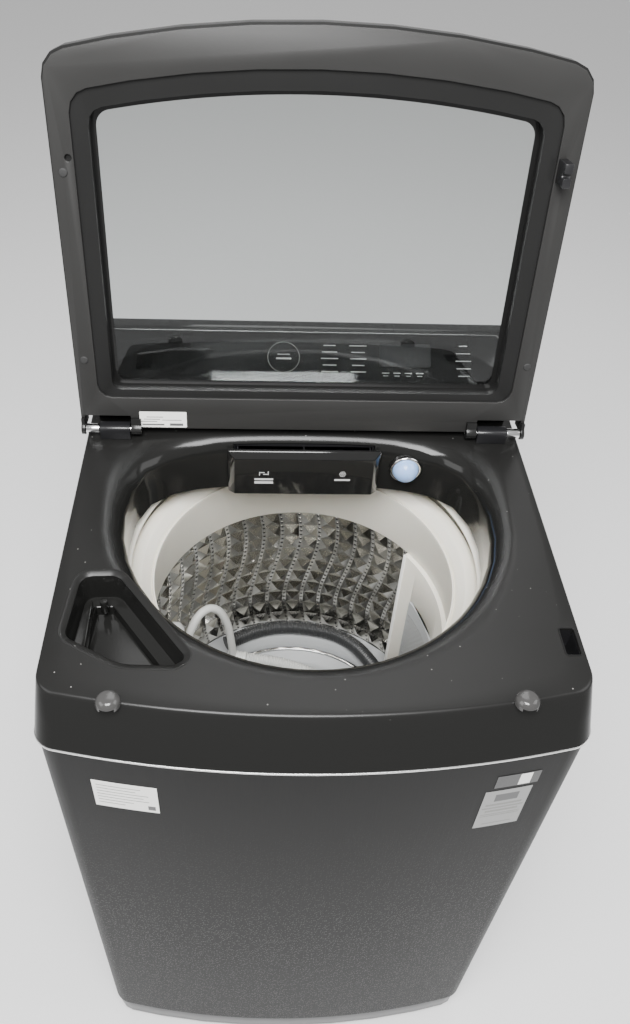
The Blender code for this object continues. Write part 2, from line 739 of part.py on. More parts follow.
def top_cover():
    """Moulded top: flat face, front bevel, band, round mouth with its wall, cup and latch holes."""
    bottom = TRIM_HIGH + GAP
    top_apex = FRONT_Y + 0.001 + BAND_FORWARD + BEVEL_FORWARD
    layers = [
        (HALF_WIDTH - 0.0005, FRONT_Y + 0.001, bottom),
        (BAND_HALF_WIDTH, FRONT_Y + 0.001 + BAND_FORWARD, TOP_Z - BAND_DROP),
        (TOP_HALF_WIDTH, top_apex, TOP_Z),
    ]
    wall = COVER_WALL
    outer = [at_height(body_outline(w, a, REAR_Y), z) for w, a, z in layers]
    inner = [
        at_height(body_outline(w - wall, a + wall, REAR_Y - wall, CORNER_RADIUS - wall, 0.004), z)
        for w, a, z in layers
    ]
    inner[0] = [(x, y, bottom - 0.01) for x, y, z in inner[0]]
    inner[-1] = [(x, y, TOP_Z - wall) for x, y, z in inner[-1]]
    cover = loft(outer)
    cut(cover, loft(inner))
    join(cover, mouth_solid(wall, TOP_Z - wall / 2, TOP_Z - MOUTH_DROP))
    cut(cover, mouth_solid(0.0, TOP_Z + 0.02, TOP_Z - MOUTH_DROP - 0.02, GAP))
    cut(cover, prism(rounded(inset_corners(CUP_OUTLINE, -GAP)), TOP_Z - 0.02, TOP_Z + 0.02))
    cut(cover, latch_slot(TOP_Z - 0.02, TOP_Z + 0.02))
    gate = DRAWER_HALF + 2 * DRAWER_CLEAR + HOUSING_WALL + GAP
    cut(cover, box((-gate, gate), (0.110, 0.170), (TOP_Z - DRAWER_BOTTOM - 0.0065, TOP_Z - 0.0095)))
    x, y, drop = NOZZLE
    cut(cover, cylinder((x, y + 0.02, TOP_Z + drop), NOZZLE_RADIUS + 0.003 + GAP, 0.06, "Y", 24))
    for side in (-1, 1):
        for post in (HINGE_IN + 0.012, HINGE_OUT - 0.012):
            cut(cover, cylinder((side * post, HINGE_Y + 0.012, TOP_Z), 0.0025 + GAP, 0.02, sides=10))
    for side in (-1, 1):
        cut(cover, cylinder((side * BUMPER_X, BUMPER_Y, TOP_Z), 0.004 + GAP, 0.02, sides=12))
    vent = (CONSOLE_HALF - 0.03, CONSOLE_CREST_Y - 0.05, REAR_Y - 0.025)
    cut(cover, box((-vent[0], vent[0]), vent[1:], (TOP_Z - 0.02, TOP_Z + 0.02)))
    own(cover, "top_cover", COVER_GREY)


def bumpers():
    for name, side in (("left", -1), ("right", 1)):
        low, high = TOP_Z + GAP, TOP_Z + HINGE_RISE - 0.0008
        bumper = turned(
            [
                (0.0, high), (BUMPER_RADIUS * 0.55, high - 0.0012), (BUMPER_RADIUS * 0.9, high - 0.005),
                (BUMPER_RADIUS, low + 0.003), (BUMPER_RADIUS, low), (0.004, low),
                (0.004, low - 0.008), (0.0, low - 0.008),
            ],
            14, False,
        )
        bumper.location = (side * BUMPER_X, BUMPER_Y, 0)
        own(bumper, f"bumper_{name}", RUBBER)


def bleach_cup():
    """Pour cup let into the cover: flange, sloping band and a stepped pocket."""
    band = inset_corners(CUP_OUTLINE, CUP_BAND)
    skin = inset_corners(CUP_OUTLINE, CUP_BAND - CUP_WALL)
    floor = TOP_Z - CUP_DEPTH
    cup = prism(rounded(CUP_OUTLINE), TOP_Z - COVER_WALL, TOP_Z)
    join(cup, prism(rounded(skin), floor, TOP_Z - COVER_WALL / 2))
    slope = [
        at_height(rounded(band), TOP_Z - 0.0018),
        at_height(rounded(inset_corners(CUP_OUTLINE, 0.002)), TOP_Z + 0.0008),
    ]
    cut(cup, loft(slope))
    cut(cup, prism(rounded(band), floor + CUP_WALL + 0.014, TOP_Z + 0.01))
    deep = inset_corners(CUP_OUTLINE, CUP_BAND + 0.016)
    cut(cup, prism(rounded(deep), floor + CUP_WALL, TOP_Z))
    own(cup, "bleach_cup", COVER_GREY)


def lid_lock():
    """Lock box under the latch slot, and the bolt that enters the hook."""
    low, high = TOP_Z - 0.046, TOP_Z - COVER_WALL - GAP
    half_y = HOOK_LENGTH / 2 + SLOT_CLEAR + 0.006
    inner_x = LATCH_X - HOOK_WIDTH / 2 - SLOT_CLEAR
    across = (inner_x - 0.024, TOP_HALF_WIDTH - COVER_WALL - 0.0015)
    housing = box(across, (LATCH_Y - half_y, LATCH_Y + half_y), (low, high))
    cut(housing, latch_slot(low + 0.006, high + 0.01))
    bolt_z = TOP_Z - 0.0115
    cut(housing, cylinder((inner_x - 0.010, LATCH_Y, bolt_z), BOLT_RADIUS + GAP, 0.040, "X", 12))
    own(housing, "lid_lock_housing", BLACK)
    bolt = cylinder((inner_x - 0.0085, LATCH_Y, bolt_z), BOLT_RADIUS, 0.015, "X", 12)
    own(bolt, "lock_bolt", GALVANISED)


# ---------------------------------------------------------------- console
def console_profile(inset):
    """Side section of the console: lip, sloping face, rounded crest, fall to the rear."""
    front, rear = CONSOLE_FRONT + inset, REAR_Y - inset
    slope = atan2(CONSOLE_RISE - CONSOLE_LIP_RISE, CONSOLE_CREST_Y - CONSOLE_FRONT)
    crest = TOP_Z + CONSOLE_RISE - inset
    lip = TOP_Z + CONSOLE_LIP_RISE - inset * tan(slope / 2)
    low = TOP_Z + GAP if inset == 0 else TOP_Z - 0.01
    return rounded(
        [
            (front, low, 0.0), (rear, low, 0.0), (rear, TOP_Z + CONSOLE_REAR_RISE - inset, 0.012),
            (CONSOLE_CREST_Y + CONSOLE_CREST_RUN, crest, 0.010), (CONSOLE_CREST_Y, crest, 0.004),
            (front, lip, 0.003),
        ],
        3,
    )


def console():
    """Rear console shell with its gloss panel and the board behind it."""
    shell = side_prism(console_profile(0.0), -CONSOLE_HALF, CONSOLE_HALF)
    cut(shell, side_prism(console_profile(CONSOLE_WALL), -CONSOLE_HALF + CONSOLE_WALL,
                          CONSOLE_HALF - CONSOLE_WALL))
    window = face_slab(0.012, -0.02, 0.02, 0.020)
    cut(shell, window)
    own(shell, "console_housing", GLOSS_BLACK)
    panel = face_slab(0.0, GAP, GAP + PANEL_THICK, 0.008)
    own(panel, "console_panel", GLOSS_BLACK)
    half_x, half_y = BOARD_HALF_X, BOARD_HALF_Y
    board = prism(rounded([(-half_x, -half_y, 0.003), (half_x, -half_y, 0.003), (half_x, half_y, 0.003),
                           (-half_x, half_y, 0.003)], 2), -BOARD_DROP, -BOARD_DROP + BOARD_THICK)
    for x in CHIP_X:
        join(board, box((x, x + CHIP_SIZE), (-CHIP_SIZE / 2, CHIP_SIZE / 2), (-0.020, -0.011)))
    board.matrix_basis = face_matrix()
    own(board, "control_board", BOARD)


def face_matrix():
    """Frame of the sloping face: its middle, x to the right, y up the slope, z outwards."""
    run, rise = CONSOLE_CREST_Y - CONSOLE_FRONT, CONSOLE_RISE - CONSOLE_LIP_RISE
    slope = atan2(rise, run)
    middle = (0, CONSOLE_FRONT + run / 2, TOP_Z + CONSOLE_LIP_RISE + rise / 2)
    return Matrix.Translation(middle) @ Matrix.Rotation(slope, 4, "X")


def face_slab(margin, low, high, corner):
    """Rounded slab lying on the sloping face, between two heights above it."""
    length = hypot(CONSOLE_CREST_Y - CONSOLE_FRONT, CONSOLE_RISE - CONSOLE_LIP_RISE)
    half_y = length / 2 - 0.004 - margin
    half_x = PANEL_HALF - margin
    outline = rounded([(-half_x, -half_y, 0.004), (half_x, -half_y, 0.004),
                       (half_x, half_y, corner), (-half_x, half_y, corner)])
    return baked(prism(outline, low, high), face_matrix())


# ---------------------------------------------------------------- dispenser
def dispenser():
    """Drawer housing behind the mouth's rear wall, the tray and its bevelled front."""
    clear = DRAWER_CLEAR
    inner_x = DRAWER_HALF + 2 * clear
    top, bottom = TOP_Z - DRAWER_TOP + clear, TOP_Z - DRAWER_BOTTOM - clear
    front, back = HOUSING_FRONT, DRAWER_BACK + DRAWER_ROOM
    wall = HOUSING_WALL
    housing = box((-inner_x - wall, inner_x + wall), (front, back + wall), (bottom - wall, top + wall))
    cut(housing, box((-inner_x, inner_x), (front - 0.01, back), (bottom, top)))
    cut(housing, box((-SPOUT_HALF, SPOUT_HALF), SPOUT_Y, (bottom - 0.01, bottom + 0.01)))
    cut(housing, cylinder((*WATER_INLET, top), WATER_INLET_RADIUS, 0.02, sides=12))
    own(housing, "dispenser_housing", BLACK)

    drawer_axis = empty("drawer_axis", (0, MOUTH_REAR, TOP_Z - DRAWER_TOP))
    lift = Matrix.Translation(-Vector(drawer_axis.location))
    low, high = TOP_Z - DRAWER_BOTTOM, TOP_Z - DRAWER_TOP
    thin = DRAWER_WALL
    tray_front = MOUTH_REAR - FACE_STANDOFF + GAP
    tray = box((-DRAWER_HALF, DRAWER_HALF), (tray_front, DRAWER_BACK), (low, high))
    for x0, x1 in ((-DRAWER_HALF + thin, -thin / 2), (thin / 2, DRAWER_HALF - thin)):
        pocket = box((x0, x1), (tray_front + thin, DRAWER_BACK - thin), (low + thin, high + 0.01))
        cut(tray, baked(pocket, lift))
    own(baked(tray, lift), "drawer_tray", BLACK, drawer_axis)

    half, bevel = FACE_HALF, FACE_BEVEL
    back, rim = MOUTH_REAR - FACE_STANDOFF, MOUTH_REAR - FACE_RIM
    sections = [
        (half + bevel, back, TOP_Z - FACE_DROPS[1], back, TOP_Z - FACE_DROPS[0]),
        (half + bevel, rim, TOP_Z - FACE_DROPS[1], rim, TOP_Z - FACE_DROPS[0]),
        (half, MOUTH_REAR - FACE_LOW[0], TOP_Z - FACE_LOW[1],
         MOUTH_REAR - FACE_HIGH[0], TOP_Z - FACE_HIGH[1]),
    ]
    face = loft([
        [(-w, low_y, low_z), (w, low_y, low_z), (w, high_y, high_z), (-w, high_y, high_z)]
        for w, low_y, low_z, high_y, high_z in sections
    ])
    own(baked(face, lift), "drawer_front", GLOSS_BLACK, drawer_axis)


def nozzle():
    """Rinse nozzle in the rear wall: ringed socket and domed cap."""
    x, y, drop = NOZZLE
    radius = NOZZLE_RADIUS
    turn = Matrix.Translation((x, y, TOP_Z + drop)) @ Matrix.Rotation(pi / 2, 4, "X")
    socket = turned(
        [(radius + 0.003, 0.001), (radius + 0.003, -0.028), (0.006, -0.028), (0.006, -0.004),
         (radius - 0.001, -0.004), (radius, 0.001)],
        18,
    )
    socket.matrix_basis = turn
    own(socket, "nozzle_socket", CHROME)
    dome = radius * CAP_SHARE
    turns = [radians(22.5 * k) for k in range(5)]
    arc = [(dome * sin(a), dome * cos(a) + 0.0005) for a in turns]
    cap = turned(arc + [(dome, -0.0035), (0.0, -0.0035)], 18, False)
    cap.matrix_basis = turn
    own(cap, "nozzle_cap", BLUE)


# ---------------------------------------------------------------- back of the machine
def rear_fittings():
    """Double inlet valve, drain spigot and the gland of the mains lead."""
    x0, x1 = VALVE_X - 0.020, VALVE_X + VALVE_PITCH + 0.020
    inside = REAR_Y - SHEET - GAP
    valve = box((x0, x1), (inside - 0.040, inside), (VALVE_Z - 0.018, VALVE_Z + 0.018))
    for i in range(2):
        x = VALVE_X + i * VALVE_PITCH
        length = BACK_Y - inside + 0.004
        join(valve, cylinder((x, BACK_Y - length / 2, VALVE_Z), PORT_RADIUS, length, "Y", 14))
        cut(valve, cylinder((x, BACK_Y, VALVE_Z), PORT_RADIUS - 0.0035, 0.030, "Y", 12))
    own(valve, "inlet_valve", PALE)

    x, z = OUTLET
    middle, length = (BACK_Y + inside) / 2, BACK_Y - inside
    outlet = cylinder((x, middle - 0.010, z), OUTLET_RADIUS, length + 0.020, "Y", 14)
    join(outlet, cylinder((x, inside - 0.003, z), OUTLET_RADIUS + 0.007, 0.006, "Y", 14))
    cut(outlet, cylinder((x, middle, z), OUTLET_RADIUS - 0.0025, 0.120, "Y", 12))
    own(outlet, "drain_outlet", BLACK)

    x, z = GLAND
    gland = cylinder((x, REAR_Y + 0.001, z), GLAND_RADIUS, 0.022, "Y", 16)
    join(gland, cylinder((x, REAR_Y + GAP + 0.0015, z), GLAND_RADIUS + 0.005, 0.003, "Y", 16))
    cut(gland, cylinder((x, REAR_Y, z), GLAND_RADIUS - 0.0035, 0.060, "Y", 12))
    own(gland, "cord_gland", RUBBER)


def hinge_brackets():
    """Two blocks on the cover with the bores that the lid's pins turn in."""
    for name, side in (("left", -1), ("right", 1)):
        x = sorted((side * (HINGE_IN + 0.0008), side * (HINGE_OUT - 0.0008)))
        low = TOP_Z + GAP
        front, rear, crest = HINGE_Y - BRACKET_FRONT, HINGE_Y + BRACKET_REAR, HINGE_Z + BRACKET_CREST
        profile = rounded(
            [
                (front, low, 0.0), (rear, low, 0.0), (rear, low + 0.006, 0.002),
                (HINGE_Y + 0.0100, low + 0.0080, 0.002), (HINGE_Y + BRACKET_CREST, crest, 0.0050),
                (front, crest, 0.0050),
            ],
            3,
        )
        bracket = side_prism(profile, *x)
        cut(bracket, cylinder((side * (HINGE_IN + 0.022), HINGE_Y, HINGE_Z), PIN_RADIUS + GAP, 0.08, "X", 16))
        for post in (HINGE_IN + 0.012, HINGE_OUT - 0.012):
            peg = cylinder((side * post, HINGE_Y + 0.012, TOP_Z - 0.001), 0.0025, 0.010, sides=10)
            join(bracket, peg)
        own(bracket, f"hinge_bracket_{name}", BLACK)


# ---------------------------------------------------------------- lid, modelled closed about its hinge line
def lid_outline(half, near, far, corner, near_corner):
    """Plan of the lid: straight rear edge, bowed front, in distances from the hinge line."""
    front = bow(half, 0.0)
    sag = front[0][1]
    corners = [(-x, -(far - (y - sag)), corner if i in (0, len(front) - 1) else 0.0)
               for i, (x, y) in enumerate(reversed(front))]
    corners += [(half, -near, near_corner), (-half, -near, near_corner)]
    return rounded(corners)


def knuckle(side, x0, x1):
    """Round eye on the hinge line."""
    return cylinder((side * (x0 + x1) / 2, 0, 0), KNUCKLE_RADIUS, x1 - x0, "X", 12)


def lid():
    """Outer frame, inner frame, glass, hook and the two chrome pins."""
    half = HALF_WIDTH
    low = INNER_FRAME_THICK + GAP
    frame = prism(lid_outline(half, 0.0, LID_LENGTH, LID_CORNER, 0.010), low, LID_THICK)
    cut(frame, prism(lid_outline(*LID_OPENING), -0.01, 0.05))
    rebate = lid_outline(*GLASS_SEAT)
    cut(frame, prism(rebate, LID_THICK - GLASS_THICK - GAP, 0.05))
    notch = (HINGE_IN - 0.0005, BARREL_OUT + 0.0006)
    inner = prism(lid_outline(half - 0.002, 0.001, LID_LENGTH - 0.002, LID_CORNER, 0.010), 0.0, low - GAP)
    cut(inner, prism(lid_outline(*INNER_OPENING), -0.01, 0.05))
    for side in (-1, 1):
        x = sorted((side * notch[0], side * notch[1]))
        for piece in (frame, inner):
            cut(piece, box(x, (-HINGE_NOTCH, 0.02), (-0.02, 0.05)))
        for x0, x1 in ((notch[0] - 0.014, notch[0] - GAP), (notch[1] + GAP, HALF_WIDTH - 0.0008)):
            join(frame, knuckle(side, x0, x1))
            span = sorted((side * (x0 + 0.0002), side * (x1 - 0.0002)))
            join(frame, box(span, (-0.0160, -0.0006), (-0.0040, low + 0.004)))
            clear = sorted((side * (x0 - 0.0004), side * (x1 + 0.003)))
            cut(inner, box(clear, (-0.0164, 0.02), (-0.02, 0.02)))
        bore = cylinder((side * (HALF_WIDTH - 0.043), 0, 0), PIN_RADIUS + GAP, 0.0815, "X", 16)
        cut(frame, bore)
        cut(inner, cylinder((side * LATCH_X, -LATCH_LENGTH, 0), 0.0042, 0.02, sides=12))
    own(frame, "lid_frame", CHARCOAL, LID_AXIS)
    own(inner, "lid_inner_frame", COVER_GREY, LID_AXIS)
    seat_half, near, far, corner, near_corner = GLASS_SEAT
    pane = lid_outline(seat_half - GAP, near + GAP, far - GAP, corner, near_corner)
    glass = prism(pane, LID_THICK - GLASS_THICK, LID_THICK)
    own(glass, "lid_glass", GLASS, LID_AXIS)

    half_x, half_y = HOOK_WIDTH / 2, HOOK_LENGTH / 2
    hook = box((LATCH_X - half_x, LATCH_X + half_x), (-LATCH_LENGTH - half_y, -LATCH_LENGTH + half_y),
               (-HOOK_DROP, -GAP), 0.001)
    join(hook, cylinder((LATCH_X, -LATCH_LENGTH, 0.0005), 0.0038, 0.006, sides=12))
    eye_z = -(HINGE_RISE + 0.0115)
    cut(hook, cylinder((LATCH_X, -LATCH_LENGTH, eye_z), BOLT_RADIUS + 0.0012, 0.03, "X", 12))
    own(hook, "latch_hook", BLACK, LID_AXIS)

    for name, side in (("left", -1), ("right", 1)):
        ends = (PIN_IN, HINGE_OUT + 0.0004, BARREL_OUT, HALF_WIDTH - 0.0035)
        pin = turned(
            [(0.0, ends[3]), (PIN_RADIUS, ends[3]), (PIN_RADIUS, ends[2]), (BARREL_RADIUS, ends[2]),
             (BARREL_RADIUS, ends[1]), (PIN_RADIUS, ends[1]), (PIN_RADIUS, ends[0]), (0.0, ends[0])],
            14, False,
        )
        pin.rotation_euler = (0, side * pi / 2, 0)
        own(pin, f"hinge_pin_{name}", CHROME, LID_AXIS)


# ---------------------------------------------------------------- tub
def tub():
    """Plastic tub with four ears, its cover ring and the four hanging rods."""
    outer = TUB_RADIUS + TUB_WALL
    rim = TOP_Z - TUB_RIM_DROP
    floor = TUB_FLOOR
    shell = turned([
        (outer, rim), (outer, floor + 0.004), (outer - 0.012, floor - TUB_BASE_WALL),
        (HUB_RADIUS, floor - TUB_BASE_WALL),
        (HUB_RADIUS, floor - HUB_DEPTH), (HUB_BORE, floor - HUB_DEPTH), (HUB_BORE, floor),
        (TUB_RADIUS - 0.010, floor),
        (TUB_RADIUS, floor + 0.010), (TUB_RADIUS, rim),
    ])
    for name, (x, y) in rod_places().items():
        turn = atan2(y - DRUM_Y, x)
        root = TUB_RADIUS + 0.0004
        ear = box((root, ROD_REACH + 0.016), (-0.017, 0.017), (EAR_Z, EAR_Z + EAR_THICK))
        rib = box((root, ROD_REACH - SPRING_RADIUS - 0.005), (-0.003, 0.003), (EAR_Z - 0.045, EAR_Z + 0.001))
        for piece in (ear, rib):
            join(shell, baked(piece, Matrix.Rotation(turn, 4, "Z")))
        cut(shell, cylinder((x, y - DRUM_Y, EAR_Z), ROD_RADIUS + 0.0012, 0.05, sides=12))
    cut(shell, cylinder((SUMP[0], SUMP[1], floor), SUMP_RADIUS - 0.004, 0.05, sides=16))
    own(shell, "outer_tub", CREAM, TUB_AXIS)

    top = TOP_Z - TUB_COVER_DROP
    cover = turned([
        (outer - 0.004, top - 0.003), (outer + 0.003, top - 0.008), (outer + 0.003, rim - 0.008),
        (outer + GAP, rim - 0.008), (outer + GAP, rim + GAP), (TUB_COVER_BORE + 0.004, rim + 0.0105),
        (TUB_COVER_BORE + 0.001, top - 0.006), (TUB_COVER_BORE, top - 0.003),
        (TUB_COVER_BORE + 0.002, top - 0.001), (TUB_COVER_BORE + 0.008, top),
    ])
    own(cover, "tub_cover", CREAM, TUB_AXIS)

    for name, (x, y) in rod_places().items():
        seat = TOP_Z - GUSSET_DROP + GAP
        rod = turned(
            [
                (0.0, seat + 0.010), (0.006, seat + 0.009), (0.0095, seat + 0.004), (0.0095, seat),
                (ROD_RADIUS, seat), (ROD_RADIUS, ROD_END_Z), (SPRING_RADIUS + 0.004, ROD_END_Z - 0.001),
                (SPRING_RADIUS + 0.004, ROD_END_Z - 0.007), (0.0, ROD_END_Z - 0.010),
            ],
            12, False,
        )
        rod.location = (x, y, 0)
        own(rod, f"suspension_rod_{name}", GALVANISED)
        low, high = ROD_END_Z + GAP + SPRING_WIRE, EAR_Z - 0.002 - GAP - SPRING_WIRE
        steps = 7 * SPRING_TURNS
        coil = [
            (SPRING_RADIUS * cos(2 * pi * k / 7), SPRING_RADIUS * sin(2 * pi * k / 7),
             low + (high - low) * k / steps)
            for k in range(steps + 1)
        ]
        spring = tube(coil, SPRING_WIRE, 2)
        spring.location = (x, y - DRUM_Y, 0)
        own(spring, f"suspension_spring_{name}", GALVANISED, TUB_AXIS)


def drive():
    """Gearcase under the tub, stator, clutch coupler and the rotor with its shaft."""
    top = TUB_FLOOR - HUB_DEPTH - GAP
    bottom = GEARCASE_BOTTOM
    bore = SPIN_TUBE_RADIUS + GAP
    case = turned([
        (FLANGE_RADIUS, top), (FLANGE_RADIUS, top - 0.008), (CASE_RADIUS, top - 0.016),
        (CASE_RADIUS - 0.008, bottom), (bore, bottom), (bore, top),
    ], 24)
    own(case, "gearcase", GREY, TUB_AXIS)
    stator_top = bottom - GAP
    stator_bottom = ROTOR_BOTTOM + 0.010
    stator = turned([
        (STATOR_RADIUS, stator_top - 0.010), (STATOR_RADIUS, stator_bottom),
        (STATOR_BORE + 0.011, stator_bottom), (STATOR_BORE, stator_bottom + 0.006),
        (STATOR_BORE, stator_top), (STATOR_BORE + 0.011, stator_top),
    ], 24)
    own(stator, "stator", COPPER, TUB_AXIS)
    coupler = turned([
        (COUPLER_RADIUS, bottom - GAP), (COUPLER_RADIUS, bottom - COUPLER_HEIGHT),
        (SPIN_TUBE_RADIUS + GAP, bottom - COUPLER_HEIGHT), (SPIN_TUBE_RADIUS + GAP, bottom - GAP),
    ], 24)
    own(coupler, "clutch_coupler", BLACK, TUB_AXIS)

    hub_top = bottom - COUPLER_HEIGHT - CLUTCH_TRAVEL
    rotor = turned(
        [
            (0.0, PULSATOR_SEAT - GAP), (SHAFT_RADIUS, PULSATOR_SEAT - GAP), (SHAFT_RADIUS, hub_top),
            (ROTOR_HUB, hub_top), (ROTOR_HUB, ROTOR_BOTTOM + 0.005),
            (ROTOR_RADIUS - 0.006, ROTOR_BOTTOM + 0.005),
            (ROTOR_RADIUS - 0.006, bottom - COUPLER_HEIGHT), (ROTOR_RADIUS, bottom - COUPLER_HEIGHT),
            (ROTOR_RADIUS, ROTOR_BOTTOM), (0.0, ROTOR_BOTTOM),
        ],
        24, False,
    )
    own(rotor, "rotor", GALVANISED, PULSATOR_AXIS)


# ---------------------------------------------------------------- basket
def stowed(obj, name, mat):
    """Put a piece that was made in place into the basket, so that it turns with it."""
    obj.location = (0, -DRUM_Y, 0)
    own(obj, name, mat, BASKET_AXIS)


def basket():
    """Steel drum, moulded base with its spin tube, balance ring, filter column and filter."""
    inner, outer = BASKET_RADIUS, BASKET_RADIUS + BASKET_SHEET
    top, floor = TOP_Z - BASKET_TOP_DROP, BASKET_FLOOR
    drum = turned([
        (outer, top), (outer, floor - BASKET_SHEET), (FLOOR_BORE, floor - BASKET_SHEET),
        (FLOOR_BORE, floor), (inner, floor), (inner, top),
    ])
    own(drum, "wash_basket", STEEL, BASKET_AXIS)

    fit = inner - GAP
    ledge, rim = BASE_LEDGE_Z, PULSATOR_RADIUS + 0.0025
    well = PULSATOR_SEAT - 0.0012
    bore = SHAFT_RADIUS + GAP
    base = turned([
        (fit, ledge), (fit, floor + GAP), (FLOOR_BORE - 0.001, floor + GAP),
        (FLOOR_BORE - 0.001, floor - 0.010),
        (0.060, floor - 0.010), (0.045, TUB_FLOOR + 0.004), (SPIN_TUBE_RADIUS, TUB_FLOOR + 0.004),
        (SPIN_TUBE_RADIUS, GEARCASE_BOTTOM - 0.013), (bore, GEARCASE_BOTTOM - 0.013), (bore, well - 0.006),
        (0.050, well - 0.006), (0.060, well), (rim, well - 0.004), (rim, PULSATOR_Z - 0.005),
        (rim + 0.014, ledge),
    ])
    own(base, "basket_base", GREY, BASKET_AXIS)

    groove, low = TOP_Z - RING_GROOVE_DROP, TOP_Z - RING_BOTTOM_DROP
    crest = TOP_Z - RING_CREST_DROP
    ring = turned([
        (RING_RADIUS - 0.010, crest), (RING_RADIUS, crest - 0.004), (RING_RADIUS, top + 0.0015),
        (fit, top - 0.002), (fit, low + 0.004), (RING_LOW_BORE + 0.004, low), (RING_LOW_BORE, low),
        (RING_BORE, groove - 0.004), (RING_BORE, groove + 0.003),
        (RING_BORE + 0.002, groove + 0.003), (RING_BORE + 0.0035, groove - 0.001),
        (RING_BORE + 0.006, groove + 0.005), (RING_RADIUS - 0.020, crest - 0.001),
    ])
    own(ring, "balance_ring", CREAM, BASKET_AXIS)

    column_low, column_high = ledge + GAP, low - GAP
    start, end = COLUMN_ANGLES
    column = prism(sector(COLUMN_FACE, inner - 0.0012, start, end, 12), column_low, column_high)
    first, last = FILTER_ANGLES
    high_z, low_z = TOP_Z - FILTER_DROPS[0], TOP_Z - FILTER_DROPS[1]
    pocket = sector(COLUMN_FACE - 0.01, COLUMN_FACE + 0.027, first, last, 6)
    cut(column, prism(pocket, low_z, high_z))
    stowed(column, "filter_column", CREAM)

    play = 0.15
    insert = prism(sector(COLUMN_FACE - 0.003, COLUMN_FACE + 0.025, first + play, last - play, 6),
                   low_z + 0.0005, high_z - 0.0005)
    bowl = sector(COLUMN_FACE + 0.002, COLUMN_FACE + 0.023, first + 1.2, last - 1.2, 6)
    cut(insert, prism(bowl, low_z + 0.003, high_z + 0.01))
    stowed(insert, "lint_filter", GREY)


def pulsator():
    """Dished wash plate with raised vanes, on the drive shaft."""
    rim = PULSATOR_RADIUS
    seat = PULSATOR_SEAT
    plate = turned(
        [
            (0.0, VANE_TOP), (0.018, VANE_TOP - 0.001), (0.036, VANE_TOP - 0.008),
            (DOME_RADIUS, PULSATOR_Z - 0.010),
            (rim - 0.030, PULSATOR_Z - 0.013), (rim - 0.009, PULSATOR_Z - 0.002), (rim - 0.004, PULSATOR_Z),
            (rim, PULSATOR_Z - 0.002), (rim, PULSATOR_Z - 0.008), (rim - 0.030, seat + 0.003),
            (DOME_RADIUS, seat + 0.002), (DOME_RADIUS - 0.012, seat), (0.0, seat),
        ],
        ROUND_STEPS, False,
    )
    for k in range(VANES):
        vane = loft([
            [(VANE_IN, -0.012, seat + 0.006), (VANE_OUT, -0.016, seat + 0.006),
             (VANE_OUT, 0.016, seat + 0.006), (VANE_IN, 0.012, seat + 0.006)],
            [(VANE_IN + 0.006, -0.003, VANE_TOP - 0.002), (VANE_OUT - 0.025, -0.004, VANE_TOP - 0.004),
             (VANE_OUT - 0.025, 0.004, VANE_TOP - 0.004), (VANE_IN + 0.006, 0.003, VANE_TOP - 0.002)],
        ])
        join(plate, baked(vane, Matrix.Rotation(2 * pi * k / VANES, 4, "Z")))
    own(plate, "pulsator", GREY, PULSATOR_AXIS)


# ---------------------------------------------------------------- drain
def drain():
    """Pump under the tub's sump, its impeller and the bellows between them."""
    x, y = SUMP[0], SUMP[1] + DRUM_Y
    outer, wall = PUMP_RADIUS, PUMP_WALL
    pump = turned([
        (outer, PUMP_TOP), (outer, PUMP_BOTTOM), (MOTOR_RADIUS + 0.002, PUMP_BOTTOM),
        (MOTOR_RADIUS, PUMP_BOTTOM - MOTOR_HEIGHT), (IMPELLER_SHAFT + GAP, PUMP_BOTTOM - MOTOR_HEIGHT),
        (IMPELLER_SHAFT + GAP, PUMP_BOTTOM + wall), (outer - wall, PUMP_BOTTOM + wall),
        (outer - wall, PUMP_TOP - wall), (SUMP_RADIUS - 0.004, PUMP_TOP - wall),
        (SUMP_RADIUS - 0.004, PUMP_TOP),
    ], 16)
    spout = (outer + 0.010, 0, PUMP_TOP - 0.016)
    join(pump, cylinder(spout, SPOUT_RADIUS, 0.034, "X", 16))
    cut(pump, cylinder(spout, SPOUT_RADIUS - 0.0022, 0.050, "X", 16))
    pump.location = (x, y, 0)
    own(pump, "drain_pump", GREY)

    low = PUMP_BOTTOM + wall + 0.001
    impeller = turned(
        [(0.0, low + 0.026), (0.006, low + 0.026), (0.006, low + 0.002), (IMPELLER_RADIUS, low + 0.002),
         (IMPELLER_RADIUS, low), (IMPELLER_SHAFT, low), (IMPELLER_SHAFT, PUMP_BOTTOM - 0.015),
         (0.0, PUMP_BOTTOM - 0.015)],
        20, False,
    )
    for k in range(2):
        reach = IMPELLER_RADIUS - 0.001
        blade = box((-reach, reach), (-0.0012, 0.0012), (low + 0.001, low + 0.022))
        join(impeller, baked(blade, Matrix.Rotation(pi / 2 * k, 4, "Z")))
    axis = empty("impeller_axis", (x, y, 0))
    own(impeller, "pump_impeller", BLACK, axis)

    bottom, top = PUMP_TOP + GAP, TUB_FLOOR - TUB_BASE_WALL - GAP
    folds = 4
    pitch = (top - bottom - 0.016) / folds
    outline = [(SUMP_RADIUS, top)]
    for k in range(folds):
        z = top - 0.008 - k * pitch
        outline += [(SUMP_RADIUS, z), (SUMP_RADIUS + 0.005, z - pitch / 2)]
    outline += [(SUMP_RADIUS, bottom + 0.008), (SUMP_RADIUS, bottom)]
    bellows = turned(outline + [(r - 0.002, z) for r, z in reversed(outline)], 12)
    bellows.location = (*SUMP, 0)
    own(bellows, "sump_bellows", RUBBER, TUB_AXIS)


# ---------------------------------------------------------------- hoses stowed in the basket


